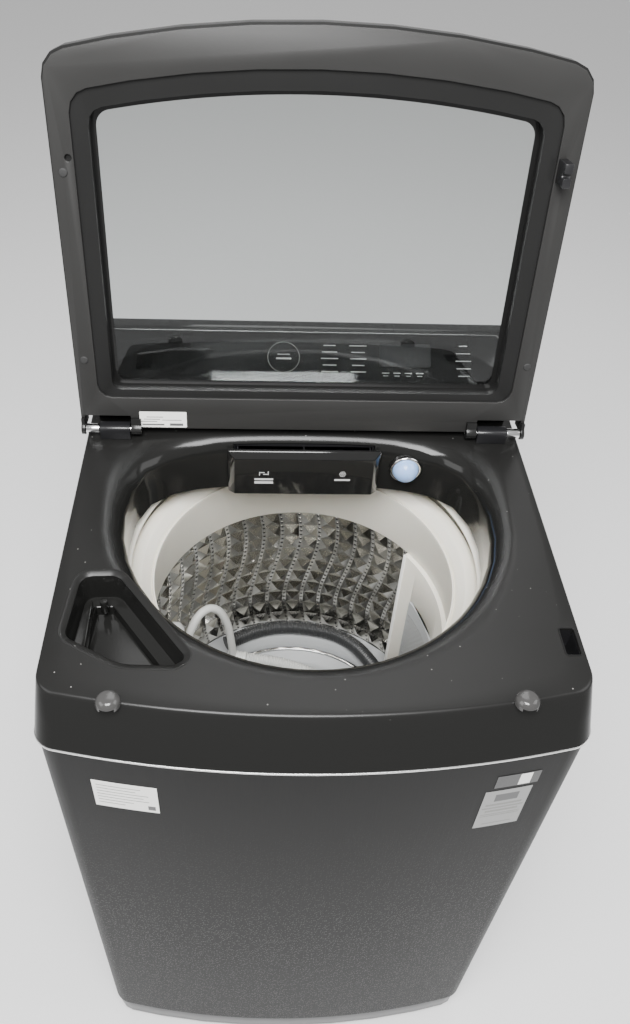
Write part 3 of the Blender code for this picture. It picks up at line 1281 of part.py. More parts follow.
def smooth_route(points, spacing):
    """Even points along a smooth curve through the route."""
    knots = [Vector(p) for p in points]
    knots = [2 * knots[0] - knots[1]] + knots + [2 * knots[-1] - knots[-2]]
    fine = []
    for a, b, c, d in zip(knots, knots[1:], knots[2:], knots[3:]):
        for k in range(24):
            t = k / 24
            fine.append(0.5 * (2 * b + (c - a) * t + (2 * a - 5 * b + 4 * c - d) * t * t
                               + (3 * b - a - 3 * c + d) * t**3))
    fine.append(knots[-2])
    lengths = [0.0]
    for a, b in zip(fine, fine[1:]):
        lengths.append(lengths[-1] + (b - a).length)
    count = max(2, round(lengths[-1] / spacing))
    even = []
    for k in range(count + 1):
        want = lengths[-1] * k / count
        i = next((n for n, v in enumerate(lengths) if v >= want - 1e-9), len(fine) - 1)
        if i == 0:
            even.append(fine[0])
            continue
        share = (want - lengths[i - 1]) / (lengths[i] - lengths[i - 1])
        even.append(fine[i - 1].lerp(fine[i], share))
    return even


def hoses():
    """Drain hose with its U-shaped hook and the darker fill hose with its nut."""
    drain_line = smooth_route(DRAIN_HOSE_ROUTE, 4.4 * HOSE_RADIUS)
    fill_line = smooth_route(INLET_HOSE_ROUTE, 4.4 * DARK_HOSE_RADIUS)
    stowed(tube(drain_line, HOSE_RADIUS, 3), "drain_hose", PALE)
    stowed(tube(fill_line, DARK_HOSE_RADIUS, 3), "inlet_hose", RUBBER)

    hook = as_mesh(tube(smooth_route(HOOK_ROUTE, 0.024), HOOK_TUBE_RADIUS, 3))
    collar = cylinder((0, 0, COLLAR_LENGTH / 2 + GAP), HOSE_RADIUS + 0.0006, COLLAR_LENGTH, sides=20)
    join(hook, baked(collar, end_frame(drain_line[0], drain_line[1])))
    stowed(hook, "hose_hook", PALE)

    nut = turned(
        [(0.0, 0.046), (0.010, 0.044), (0.0155, 0.036), (0.0180, 0.022), (0.0180, 0.004), (0.0150, GAP),
         (0.0, GAP)],
        20, False,
    )
    nut.matrix_basis = Matrix.Translation((0, -DRUM_Y, 0)) @ end_frame(fill_line[-1], fill_line[-2])
    own(nut, "inlet_hose_nut", PALE, BASKET_AXIS)


def end_frame(end, before):
    """Frame at a hose's end, with z pointing out along the hose."""
    lay = (end - before).to_track_quat("Z", "Y").to_matrix().to_4x4()
    return Matrix.Translation(end) @ lay


cabinet_wrap()
rear_panel()
base_frame()
feet()
trim_strip()
top_cover()
bumpers()
bleach_cup()
lid_lock()
console()
dispenser()
nozzle()
rear_fittings()
hinge_brackets()
lid()
tub()
drive()
basket()
pulsator()
drain()
hoses()

for piece in PARTS.objects:
    if piece.type == "MESH":
        smooth(piece)
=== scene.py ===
"""Looks of a top load washing machine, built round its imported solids.

Metres, +Z up, the front faces -Y.  Each section makes the visible pieces of one sub-assembly.
"""

import json
from math import atan2, cos, pi, radians, sin, sqrt, tan

import bmesh
import bpy
from mathutils import Matrix, Vector


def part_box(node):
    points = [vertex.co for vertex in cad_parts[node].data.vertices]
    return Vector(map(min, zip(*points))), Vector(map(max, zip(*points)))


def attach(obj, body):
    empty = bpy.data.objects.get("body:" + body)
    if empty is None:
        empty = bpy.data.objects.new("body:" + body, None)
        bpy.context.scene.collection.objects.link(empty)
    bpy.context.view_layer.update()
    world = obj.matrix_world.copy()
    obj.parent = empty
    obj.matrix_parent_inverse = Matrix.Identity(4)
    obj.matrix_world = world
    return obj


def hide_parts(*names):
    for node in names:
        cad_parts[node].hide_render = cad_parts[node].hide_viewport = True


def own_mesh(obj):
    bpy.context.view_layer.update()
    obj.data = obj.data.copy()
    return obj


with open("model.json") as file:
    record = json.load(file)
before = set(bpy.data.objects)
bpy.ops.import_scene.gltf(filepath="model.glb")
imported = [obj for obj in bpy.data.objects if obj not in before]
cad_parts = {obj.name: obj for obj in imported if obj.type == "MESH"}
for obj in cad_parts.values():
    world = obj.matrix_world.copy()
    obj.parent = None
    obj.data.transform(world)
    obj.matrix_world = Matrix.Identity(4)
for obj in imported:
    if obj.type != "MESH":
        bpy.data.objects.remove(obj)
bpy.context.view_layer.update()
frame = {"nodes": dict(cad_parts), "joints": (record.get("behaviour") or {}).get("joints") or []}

# ---------------------------------------------------------------- places, read from the frame
COVER_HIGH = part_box("top_cover")[1]
TOP_Z = COVER_HIGH.z
REAR_Y = COVER_HIGH.y
HALF_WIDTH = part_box("trim_strip")[1].x
FRONT_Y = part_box("trim_strip")[0].y
TRIM_LOW, TRIM_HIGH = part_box("trim_strip")[0].z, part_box("trim_strip")[1].z
DRUM_Y = (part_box("wash_basket")[0].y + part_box("wash_basket")[1].y) / 2
BOW_RADIUS = 1.336
HINGE = next(j for j in frame["joints"] if j["name"] == "lid_hinge")
HINGE_Y, HINGE_Z = HINGE["pos_m"][1:]
LID_TURN = -radians(HINGE["range_deg"][1])
LID = Matrix.Translation((0, HINGE_Y, HINGE_Z)) @ Matrix.Rotation(LID_TURN, 4, "X")
FORWARD, BACKWARD = Matrix.Rotation(pi / 2, 4, "X"), Matrix.Rotation(-pi / 2, 4, "X")

# ---------------------------------------------------------------- camera
view = bpy.data.cameras.new("view")
view.lens = 30.716
view.sensor_width = 36.0
view.shift_x = 0.02409
camera = bpy.data.objects.new("view", view)
camera.location = (-0.07157, -0.79668, TOP_Z + 0.77441)
camera.rotation_euler = (radians(45.6012), radians(-2.0884), radians(-1.4378))
bpy.context.scene.collection.objects.link(camera)
bpy.context.scene.camera = camera


# ---------------------------------------------------------------- shader maths
MIX_FROM, MIX_TO, MIX_RESULT = 6, 7, 2


class Val:
    """A number socket that Python's own arithmetic works on."""

    def __init__(self, tree, socket):
        self.tree = tree
        self.socket = socket

    def maths(self, operation, *numbers):
        node = self.tree.nodes.new("ShaderNodeMath")
        node.operation = operation
        for place, number in zip(node.inputs, numbers):
            if isinstance(number, Val):
                self.tree.links.new(number.socket, place)
            else:
                place.default_value = number
        return Val(self.tree, node.outputs[0])

    def __add__(self, other):
        return self.maths("ADD", self, other)

    def __sub__(self, other):
        return self.maths("SUBTRACT", self, other)

    def __rsub__(self, other):
        return self.maths("SUBTRACT", other, self)

    def __mul__(self, other):
        return self.maths("MULTIPLY", self, other)

    __radd__ = __add__
    __rmul__ = __mul__

    def step(self, start, end):
        """0 below start and 1 above end, with a soft run between them."""
        node = self.tree.nodes.new("ShaderNodeMapRange")
        node.interpolation_type = "SMOOTHSTEP"
        node.inputs["From Min"].default_value = start
        node.inputs["From Max"].default_value = end
        self.tree.links.new(self.socket, node.inputs["Value"])
        return Val(self.tree, node.outputs["Result"])


class Finish:
    """One material: a Principled shader and the nodes that feed it."""

    def __init__(self, name, colour, roughness, metallic=0.0, **fixed):
        self.mat = bpy.data.materials.new(name)
        self.mat.use_nodes = True
        self.tree = self.mat.node_tree
        self.shader = self.tree.nodes["Principled BSDF"]
        self.set("Base Color", (*colour, 1.0))
        self.set("Roughness", roughness)
        self.set("Metallic", metallic)
        for socket, value in fixed.items():
            self.set(socket.replace("_", " "), value)

    def set(self, socket, value):
        self.feed(self.shader.inputs[socket], value)

    def feed(self, socket, value):
        if isinstance(value, Val):
            self.tree.links.new(value.socket, socket)
        elif isinstance(value, bpy.types.NodeSocket):
            self.tree.links.new(value, socket)
        else:
            socket.default_value = value

    def node(self, kind, settings=None, **inputs):
        node = self.tree.nodes.new("ShaderNode" + kind)
        for key, value in (settings or {}).items():
            setattr(node, key, value)
        for name, value in inputs.items():
            self.feed(node.inputs[name.replace("_", " ")], value)
        return node

    def place(self, scale):
        """Object coordinates, stretched."""
        where = self.node("TexCoord").outputs["Object"]
        return self.node("Mapping", Vector=where, Scale=scale).outputs["Vector"]

    def height(self):
        """Z of the object coordinates."""
        parts = self.node("SeparateXYZ", Vector=self.node("TexCoord").outputs["Object"])
        return Val(self.tree, parts.outputs["Z"])

    def noise(self, scale, detail=3.0, rough=0.5, stretch=(1, 1, 1)):
        where = self.place(stretch)
        node = self.node("TexNoise", Vector=where, Scale=scale, Detail=detail, Roughness=rough)
        return Val(self.tree, node.outputs["Fac"])

    def cells(self, scale, feature="F1", stretch=(1, 1, 1)):
        where = self.place(stretch)
        node = self.node("TexVoronoi", {"feature": feature}, Vector=where, Scale=scale)
        return Val(self.tree, node.outputs["Distance"])

    def tint(self, mask, colour):
        """Blend the colour so far to another where the mask is 1."""
        node = self.node("Mix", {"data_type": "RGBA"})
        self.feed(node.inputs["Factor"], mask)
        base = self.shader.inputs["Base Color"]
        before = base.links[0].from_socket if base.is_linked else tuple(base.default_value)
        self.feed(node.inputs[MIX_FROM], before)
        self.feed(node.inputs[MIX_TO], (*colour, 1.0))
        self.feed(base, node.outputs[MIX_RESULT])

    def bump(self, height, depth, strength=1.0):
        """Relief of that depth in metres, on top of any relief given before."""
        node = self.node("Bump", Height=height, Strength=strength, Distance=depth)
        socket = self.shader.inputs["Normal"]
        if socket.is_linked:
            self.feed(node.inputs["Normal"], socket.links[0].from_socket)
        self.feed(socket, node.outputs["Normal"])


def moulded(name, colour, roughness, peel, grain, spread=0.06, mottle=0.25, **fixed):
    """Moulded plastic: fine grain of that depth and scale, and cloudiness in colour and gloss."""
    finish = Finish(name, colour, roughness, **fixed)
    cloud = finish.noise(14.0, 4.0)
    fine = finish.noise(grain, 2.0)
    lighter = tuple(min(1.0, c * 1.35 + 0.004) for c in colour)
    finish.tint((cloud - 0.35) * mottle, lighter)
    finish.set("Roughness", roughness - spread / 2 + spread * cloud)
    finish.bump(fine, peel)
    return finish


def metal(name, colour, roughness, stretch, peel=0.00002, **fixed):
    """Drawn or brushed metal: long fine scratches and a soft bloom."""
    finish = Finish(name, colour, roughness, 1.0, **fixed)
    scratch = finish.noise(700.0, 3.0, 0.6, stretch)
    cloud = finish.noise(22.0, 4.0)
    finish.set("Roughness", roughness - 0.05 + 0.10 * scratch + 0.06 * cloud)
    finish.tint((cloud - 0.4) * 0.5, tuple(c * 0.72 for c in colour))
    finish.bump(scratch, peel)
    return finish


def deck_finish():
    """Charcoal plastic: satin on top; on the bevel, the band and the mouth's wall glossy, with a painted
    sheen.
    """
    finish = moulded("deck_charcoal", (0.0100, 0.0099, 0.0095), 0.30, 0.00002, 420.0, 0.08,
                     Specular_IOR_Level=0.25)
    below = 1 - finish.height().step(TOP_Z - 0.012, TOP_Z - 0.0015)
    # painted sheen: the bevel, band and mouth's wall get a slightly lighter colour than the top
    finish.tint(below, (0.0105, 0.0105, 0.0100))
    cloud = finish.noise(9.0, 5.0)
    finish.set("Roughness", 0.24 + 0.10 * cloud - 0.19 * below)
    dust = 1 - finish.cells(60.0).step(0.030, 0.060)
    finish.tint(dust * (1 - below) * 0.45, (0.45, 0.44, 0.42))
    return finish.mat


def sheet_finish():
    """Painted sheet: vertical hairlines, and an embossed fleck that thickens towards the floor."""
    finish = Finish("charcoal_sheet", (0.0028, 0.0028, 0.0027), 0.42, Specular_IOR_Level=0.10)
    lines = finish.noise(1300.0, 2.0, 0.5, (1.0, 1.0, 0.012))
    fleck = finish.cells(430.0, stretch=(1.0, 1.0, 0.42))
    amount = 1 - finish.height().step(0.30, 0.86)
    spots = 1 - fleck.step(0.18, 0.42)
    finish.tint(lines.step(0.46, 0.62) * 0.55, (0.0090, 0.0086, 0.0080))
    finish.tint(spots * amount * 0.75, (0.030, 0.027, 0.024))
    finish.set("Roughness", 0.36 + 0.16 * lines - 0.10 * spots * amount)
    finish.bump(lines, 0.00006, 0.8)
    finish.bump(spots * amount, 0.00022, 1.0)
    return finish.mat


def drum_finish():
    """Bright drum sheet with a soft polish and stains of handling."""
    finish = Finish("drum_steel", (0.66, 0.645, 0.60), 0.12, 1.0)
    brushed = finish.noise(500.0, 2.0, 0.5, (1.0, 1.0, 6.0))
    cloud = finish.noise(12.0, 4.0)
    finish.tint(cloud.step(0.45, 0.75) * 0.5, (0.50, 0.48, 0.43))
    finish.set("Roughness", 0.06 + 0.06 * brushed + 0.06 * cloud)
    finish.bump(brushed, 0.00002)
    return finish.mat


def cream_finish():
    """Cream plastic, a little translucent and faintly yellowed."""
    colour = (0.82, 0.79, 0.70)
    finish = moulded("cream_plastic", colour, 0.34, 0.00002, 500.0, 0.10, 0.0)
    finish.set("Subsurface Weight", 0.05)
    finish.set("Subsurface Scale", 0.004)
    cloud = finish.noise(7.0, 3.0)
    aged = tuple(c * f for c, f in zip(colour, (0.93, 0.90, 0.85)))
    finish.tint(cloud.step(0.5, 0.75) * 0.35, aged)
    return finish.mat


def glass_finish():
    """Clear toughened glass with a grey tint, faint film and streaks."""
    finish = Finish("lid_glass", (0.72, 0.745, 0.74), 0.02)
    finish.set("Transmission Weight", 1.0)
    finish.set("IOR", 1.50)
    film = finish.noise(6.0, 4.0, 0.6, (1.0, 3.0, 1.0))
    finish.set("Roughness", 0.012 + 0.03 * film.step(0.45, 0.8))
    return finish.mat


def hose_finish(name, colour, roughness):
    """Ribbed hose: dull plastic with grime."""
    finish = moulded(name, colour, roughness, 0.00004, 700.0, 0.14)
    grime = finish.noise(45.0, 5.0)
    finish.tint(grime.step(0.5, 0.8) * 0.4, tuple(c * 0.6 for c in colour))
    return finish.mat


def board_finish():
    """Green board with a net of tracks."""
    finish = Finish("circuit_board", (0.02, 0.13, 0.05), 0.4)
    tracks = finish.cells(160.0, "DISTANCE_TO_EDGE")
    finish.tint(1 - tracks.step(0.02, 0.06), (0.30, 0.24, 0.10))
    finish.bump(tracks.step(0.02, 0.06), 0.0001)
    return finish.mat


def winding_finish():
    """Wound copper wire."""
    finish = Finish("copper_winding", (0.62, 0.27, 0.12), 0.30, 1.0)
    wire = finish.noise(900.0, 2.0, 0.5, (1.0, 1.0, 0.1))
    finish.bump(wire, 0.0002)
    finish.tint(wire.step(0.5, 0.6) * 0.6, (0.30, 0.12, 0.05))
    return finish.mat


DECK = deck_finish()
SHEET = sheet_finish()
DRUM = drum_finish()
CREAM = cream_finish()
GLASS = glass_finish()
PALE_HOSE = hose_finish("pale_hose", (0.56, 0.565, 0.545), 0.42)
DARK_HOSE = hose_finish("dark_hose", (0.028, 0.029, 0.030), 0.36)
BOARD = board_finish()
WINDING = winding_finish()
LID_SATIN = moulded("lid_satin", (0.024, 0.0237, 0.0230), 0.36, 0.00004, 650.0,
                    Specular_IOR_Level=0.3).mat
LID_SHELL = moulded("lid_shell", (0.012, 0.012, 0.0118), 0.24, 0.00002, 500.0,
                    Specular_IOR_Level=0.3).mat
# black plastic, also the painted shade in the drum's holes
BLACK_AND_HOLE_SHADE = moulded("black_plastic", (0.011, 0.011, 0.012), 0.30, 0.00004, 700.0).mat
PIANO = moulded("piano_black", (0.0090, 0.0090, 0.0088), 0.07, 0.000004, 200.0, 0.03).mat
GREY = moulded("grey_plastic", (0.36, 0.37, 0.375), 0.42, 0.00004, 700.0).mat
PALE = moulded("pale_plastic", (0.62, 0.625, 0.60), 0.40, 0.00003, 600.0).mat
BLUE = moulded("blue_cap", (0.30, 0.47, 0.80), 0.22, 0.00001, 300.0, Subsurface_Weight=0.15).mat
RUBBER = moulded("rubber", (0.018, 0.018, 0.018), 0.68, 0.00006, 900.0, 0.12).mat
CHARCOAL_STOP = moulded("charcoal_stop", (0.045, 0.044, 0.043), 0.14, 0.00001, 300.0).mat
# label paper, also the painted highlight strip on the filter column's edge
LABEL_AND_EDGE_HIGHLIGHT = moulded("label_paper_and_edge_highlight", (0.92, 0.915, 0.88), 0.45, 0.00001, 400.0).mat
SILVER_LABEL = moulded("label_silver", (0.27, 0.27, 0.265), 0.34, 0.00001, 400.0, metallic=0.35).mat
INK = moulded("label_ink", (0.10, 0.10, 0.10), 0.55, 0.00001, 400.0).mat
WHITE_PRINT = moulded("white_print", (0.50, 0.50, 0.49), 0.50, 0.00001, 400.0).mat
# dim print, also the painted shade of the lint filter's slots
DIM_PRINT_AND_SLOT_SHADE = moulded("dim_print_and_slot_shade", (0.20, 0.20, 0.19), 0.50, 0.00001, 400.0).mat
CHROME = metal("chrome", (0.78, 0.78, 0.78), 0.10, (1, 1, 0.05), 0.000005).mat
TRIM = metal("silver_trim", (0.66, 0.66, 0.65), 0.22, (0.05, 0.05, 1)).mat
ZINC = metal("galvanised", (0.50, 0.51, 0.52), 0.42, (1, 1, 0.2), 0.00004).mat


# ---------------------------------------------------------------- modelling helpers
def deselect():
    if bpy.context.object and bpy.context.object.mode != "OBJECT":
        bpy.ops.object.mode_set(mode="OBJECT")
    for obj in bpy.context.selected_objects:
        obj.select_set(False)


def pick(obj):
    deselect()
    obj.select_set(True)
    bpy.context.view_layer.objects.active = obj
    return obj


def named(name):
    obj = bpy.context.object
    obj.name = name
    obj.data.name = name
    return obj


def edit_all(obj):
    """Edit mode with the whole mesh selected."""
    pick(obj)
    bpy.ops.object.mode_set(mode="EDIT")
    bpy.ops.mesh.select_all(action="SELECT")


def tidy_mesh(obj):
    """Merge doubles and face the shell outwards."""
    edit_all(obj)
    bpy.ops.mesh.remove_doubles(threshold=0.000002)
    bpy.ops.mesh.normals_make_consistent(inside=False)
    bpy.ops.object.mode_set(mode="OBJECT")
    return obj


def lofted(name, rings, capped=False):
    """A ring of points is pulled out through the others; both ends can be filled."""
    deselect()
    count = len(rings[0])
    bpy.ops.mesh.primitive_circle_add(vertices=count, fill_type="NOTHING")
    obj = named(name)
    bpy.ops.object.mode_set(mode="EDIT")
    work = bmesh.from_edit_mesh(obj.data)
    for vert, point in zip(work.verts, rings[0]):
        vert.co = point
    work.verts.index_update()
    order = {vert.index: k for k, vert in enumerate(work.verts)}
    if capped:
        bpy.ops.mesh.edge_face_add()
    for ring in rings[1:]:
        bpy.ops.mesh.extrude_edges_indiv()
        work = bmesh.from_edit_mesh(obj.data)
        work.verts.index_update()
        work.verts.ensure_lookup_table()
        first = len(work.verts) - count
        after = {}
        for vert in work.verts[first:]:
            ends = [edge.other_vert(vert).index for edge in vert.link_edges]
            old = next(index for index in ends if index < first)
            after[vert.index] = order[old]
            vert.co = ring[order[old]]
        order = after
    if capped:
        bpy.ops.mesh.edge_face_add()
    bmesh.update_edit_mesh(obj.data)
    bpy.ops.object.mode_set(mode="OBJECT")
    return tidy_mesh(obj)


def turned(name, profile, steps, centre=(0, 0, 0), axis=None):
    """Lathe work: the profile (radius, height) goes round Z, and axis then lays it over."""
    rings = []
    for radius, height in profile:
        angles = [2 * pi * k / steps for k in range(steps)]
        rings.append([(radius * cos(a), radius * sin(a), height) for a in angles])
    obj = lofted(name, rings)
    obj.data.transform(Matrix.Translation(centre) @ (axis or Matrix.Identity(4)))
    return obj


def bent(points, radius, steps):
    """Profile through points with each inner corner turned into a small arc."""
    out = [points[0]]
    for a, b, c in zip(points, points[1:], points[2:]):
        before, here, after = Vector(a), Vector(b), Vector(c)
        reach = min(radius, (before - here).length * 0.45, (after - here).length * 0.45)
        start = here + (before - here).normalized() * reach
        end = here + (after - here).normalized() * reach
        for k in range(steps + 1):
            t = k / steps
            out.append(tuple(start.lerp(here, t).lerp(here.lerp(end, t), t)))
    out.append(points[-1])
    return out


def modify(obj, kind, **settings):
    step = obj.modifiers.new(kind.lower(), kind)
    for key, value in settings.items():
        setattr(step, key, value)
    pick(obj)
    bpy.ops.object.modifier_apply(modifier=step.name)
    return obj


def combined(obj, operation, *tools):
    for tool in tools:
        modify(obj, "BOOLEAN", operation=operation, solver="EXACT", object=tool)
        bpy.data.objects.remove(tool, do_unlink=True)
    return obj


def cut(obj, *tools):
    return combined(obj, "DIFFERENCE", *tools)


def soften(obj, width, segments=2, angle=30.0):
    return modify(obj, "BEVEL", width=width, segments=segments, limit_method="ANGLE",
                  angle_limit=radians(angle), use_clamp_overlap=True, miter_outer="MITER_ARC")


def finished(obj, mat, body, slot, *nodes, angle=35.0):
    """Last step of a piece: finish, shading, the body it rides on and the solids it stands for."""
    obj.data.materials.clear()
    obj.data.materials.append(mat)
    if obj.type == "MESH":
        pick(obj)
        bpy.ops.object.shade_smooth_by_angle(angle=radians(angle))
    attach(obj, body)
    if nodes:
        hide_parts(*nodes)
    return obj


def refined(node, name, width, segments=2, merge=True, angle=30.0):
    """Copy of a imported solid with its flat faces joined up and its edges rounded."""
    obj = frame["nodes"][node].copy()
    obj.data = frame["nodes"][node].data.copy()
    obj.parent = None
    obj.matrix_world = Matrix.Identity(4)
    for key in list(obj.keys()):
        del obj[key]
    obj.name = name
    obj.data.name = name
    bpy.context.scene.collection.objects.link(obj)
    edit_all(obj)
    bpy.ops.mesh.remove_doubles(threshold=0.000004)
    if merge:
        bpy.ops.mesh.dissolve_limited(angle_limit=radians(1.0))
    bpy.ops.object.mode_set(mode="OBJECT")
    if width:
        soften(obj, width, segments, angle)
    return obj


def rounded(corners, steps=8):
    """Outline through corners (x, y, radius), each turned into an arc."""
    points = []
    count = len(corners)
    for i, (x, y, radius) in enumerate(corners):
        here = Vector((x, y))
        if radius <= 0:
            points.append((x, y))
            continue
        before = (Vector(corners[i - 1][:2]) - here).normalized()
        after = (Vector(corners[(i + 1) % count][:2]) - here).normalized()
        half = before.angle(after) / 2
        middle = here + (before + after).normalized() * (radius / sin(half))
        start = here + before * (radius / tan(half)) - middle
        sweep = (pi - 2 * half) * (1 if before.cross(after) < 0 else -1)
        for k in range(steps + 1):
            spoke = start.copy()
            spoke.rotate(Matrix.Rotation(sweep * k / steps, 2))
            points.append(tuple(middle + spoke))
    return points


def oblong(x, y, radius, steps):
    """Rectangle with rounded corners, from its low and high x and y."""
    corners = [(x[0], y[0]), (x[1], y[0]), (x[1], y[1]), (x[0], y[1])]
    return rounded([(*corner, radius) for corner in corners], steps)


def inset(corners, distance):
    """The outline moved inwards side by side, with its radii reduced."""
    moved = []
    count = len(corners)
    for i, (x, y, radius) in enumerate(corners):
        here = Vector((x, y))
        before = (here - Vector(corners[i - 1][:2])).normalized()
        after = (Vector(corners[(i + 1) % count][:2]) - here).normalized()
        inward = Vector((before.y, -before.x)) + Vector((after.y, -after.x))
        scale = distance / (1 + before.dot(after))
        moved.append((x + inward.x * scale, y + inward.y * scale, max(radius - distance, 0.002)))
    return moved


def front_y(x, apex_y):
    """Y of the bowed front at a place across it."""
    return apex_y + BOW_RADIUS - sqrt(BOW_RADIUS**2 - x * x)


def bow(half_width, apex_y, points):
    xs = [half_width * (2 * i / (points - 1) - 1) for i in range(points)]
    return [(x, front_y(x, apex_y)) for x in xs]


CORNER, REAR_CORNER = 0.030, 0.006


def body_outline(half_width, apex_y, rear_y, corner=CORNER, rear_corner=REAR_CORNER):
    """Plan of the cabinet: bowed front, rounded corners, straight sides and back."""
    sides, backs = 10, 30
    front = bow(half_width, apex_y, 25)
    corners = [(*front[0], corner)]
    corners += [(*p, 0.0) for p in front[1:-1]]
    corners += [(*front[-1], corner)]
    low, high = front[0][1] + corner + 0.02, rear_y - rear_corner - 0.02
    run = [low + (high - low) * k / (sides - 1) for k in range(sides)]
    corners += [(half_width, y, 0.0) for y in run]
    corners += [(half_width, rear_y, rear_corner)]
    back = [half_width * 0.94 * (1 - 2 * k / backs) for k in range(backs + 1)]
    corners += [(x, rear_y, 0.0) for x in back]
    corners += [(-half_width, rear_y, rear_corner)]
    corners += [(-half_width, y, 0.0) for y in reversed(run)]
    return rounded(corners, 10)


def at_height(outline, z):
    return [(x, y, z) for x, y in outline]


def plate(name, outline, low, high, matrix=None):
    """Flat plate, laid by a matrix."""
    obj = lofted(name, [at_height(outline, low), at_height(outline, high)], capped=True)
    if matrix:
        obj.data.transform(matrix)
    return obj


def block(name, x, y, z):
    """Box from its low and high x, y and z."""
    deselect()
    middle = [(a + b) / 2 for a, b in (x, y, z)]
    size = [b - a for a, b in (x, y, z)]
    bpy.ops.mesh.primitive_cube_add(size=1.0)
    obj = named(name)
    obj.data.transform(Matrix.Translation(middle) @ Matrix.Diagonal((*size, 1)))
    return obj


def rod(name, centre, radius, length, axis=None):
    half = length / 2
    return turned(name, [(0, -half), (radius, -half), (radius, half), (0, half)], 48, centre, axis)


PRINT_THICK = 0.0002


def bars(name, rects, matrix):
    """Printed marks: thin blocks (x, y, width, height) lying on a plane."""
    deselect()
    bpy.ops.mesh.primitive_cube_add(size=1.0)
    obj = named(name)
    edit_all(obj)
    bpy.ops.mesh.delete(type="VERT")
    for x, y, width, height in rects:
        bpy.ops.mesh.primitive_cube_add(size=1.0, location=(x, y, PRINT_THICK / 2),
                                        scale=(width, height, PRINT_THICK))
    bpy.ops.object.mode_set(mode="OBJECT")
    obj.data.transform(matrix)
    return obj


# ---------------------------------------------------------------- hoses stowed in the drum
HOSE_RADIUS = 0.0115
DARK_HOSE_RADIUS = 0.0130
HOOK_TUBE_RADIUS = 0.0068
COLLAR_LENGTH = 0.034
NUT_RIBS = 14
DRAIN_HOSE_ROUTE = [
    (-0.080, 0.139, 0.4440), (-0.020, 0.130, 0.4420), (0.045, 0.103, 0.4400), (0.098, 0.050, 0.4395),
    (0.118, -0.020, 0.4395), (0.095, -0.095, 0.4395), (0.030, -0.145, 0.4395), (-0.050, -0.142, 0.4395),
    (-0.115, -0.098, 0.4395), (-0.148, -0.030, 0.4410), (-0.145, 0.035, 0.4460),
]
INLET_HOSE_ROUTE = [
    (-0.118, 0.184, 0.4290), (-0.060, 0.213, 0.4285), (0.000, 0.2225, 0.4285), (0.074, 0.209, 0.4285),
    (0.118, 0.179, 0.4300), (0.148, 0.132, 0.4330), (0.166, 0.082, 0.4360), (0.178, 0.020, 0.4400),
    (0.172, -0.045, 0.4430), (0.142, -0.105, 0.4450), (0.092, -0.150, 0.4470), (0.025, -0.176, 0.4500),
    (-0.045, -0.172, 0.4560), (-0.107, -0.143, 0.4700), (-0.155, -0.090, 0.4980), (-0.184, -0.020, 0.5450),
    (-0.192, 0.045, 0.5950),
]
HOOK_ROUTE = [
    (-0.186, 0.078, 0.460), (-0.183, 0.085, 0.520), (-0.174, 0.103, 0.563), (-0.159, 0.123, 0.585),
    (-0.142, 0.137, 0.587), (-0.126, 0.143, 0.572), (-0.113, 0.145, 0.535), (-0.107, 0.143, 0.490),
    (-0.104, 0.141, 0.452),
]


ROUTE_STEPS = 24


def smooth_route(points, spacing):
    """Even points along a smooth curve through the route."""
    knots = [Vector(p) for p in points]
    knots = [2 * knots[0] - knots[1]] + knots + [2 * knots[-1] - knots[-2]]
    fine = []
    for a, b, c, d in zip(knots, knots[1:], knots[2:], knots[3:]):
        for k in range(ROUTE_STEPS):
            t = k / ROUTE_STEPS
            curl, twist = 2 * a - 5 * b + 4 * c - d, 3 * b - a - 3 * c + d
            fine.append(0.5 * (2 * b + (c - a) * t + curl * t * t + twist * t**3))
    fine.append(knots[-2])
    lengths = [0.0]
    for a, b in zip(fine, fine[1:]):
        lengths.append(lengths[-1] + (b - a).length)
    count = max(2, round(lengths[-1] / spacing))
    even = []
    i = 1
    for k in range(count + 1):
        want = lengths[-1] * k / count
        while i < len(lengths) - 1 and lengths[i] < want:
            i += 1
        share = (want - lengths[i - 1]) / (lengths[i] - lengths[i - 1])
        even.append(fine[i - 1].lerp(fine[i], min(max(share, 0.0), 1.0)))
    return even


def run_length(points):
    return sum((b - a).length for a, b in zip(points, points[1:]))


def hose(name, points, radius, ribs, mat, slot, node):
    """Tube on a smooth line; ribs is the pattern of its radius from point to point."""
    curve = bpy.data.curves.new(name, "CURVE")
    curve.dimensions = "3D"
    curve.bevel_depth = radius
    curve.bevel_resolution = 5
    curve.use_fill_caps = True
    line = curve.splines.new("POLY")
    line.points.add(len(points) - 1)
    for k, (point, place) in enumerate(zip(line.points, points)):
        point.co = (*place, 1.0)
        point.radius = ribs[k % len(ribs)]
    obj = bpy.data.objects.new(name, curve)
    bpy.context.scene.collection.objects.link(obj)
    return finished(obj, mat, "basket", slot, node)


def along(end, before):
    """Frame at a hose's end, with z pointing out along the hose."""
    return Matrix.Translation(end) @ (end - before).to_track_quat("Z", "Y").to_matrix().to_4x4()


def tube_mesh(name, points, radius, sides):
    """Plain round bar through points, as a closed mesh."""
    rings = []
    turns = [2 * pi * i / sides for i in range(sides)]
    for k, here in enumerate(points):
        ahead = points[min(k + 1, len(points) - 1)] - points[max(k - 1, 0)]
        lay = ahead.to_track_quat("Z", "Y").to_matrix()
        rings.append([here + lay @ Vector((radius * cos(a), radius * sin(a), 0)) for a in turns])
    return lofted(name, rings, capped=True)


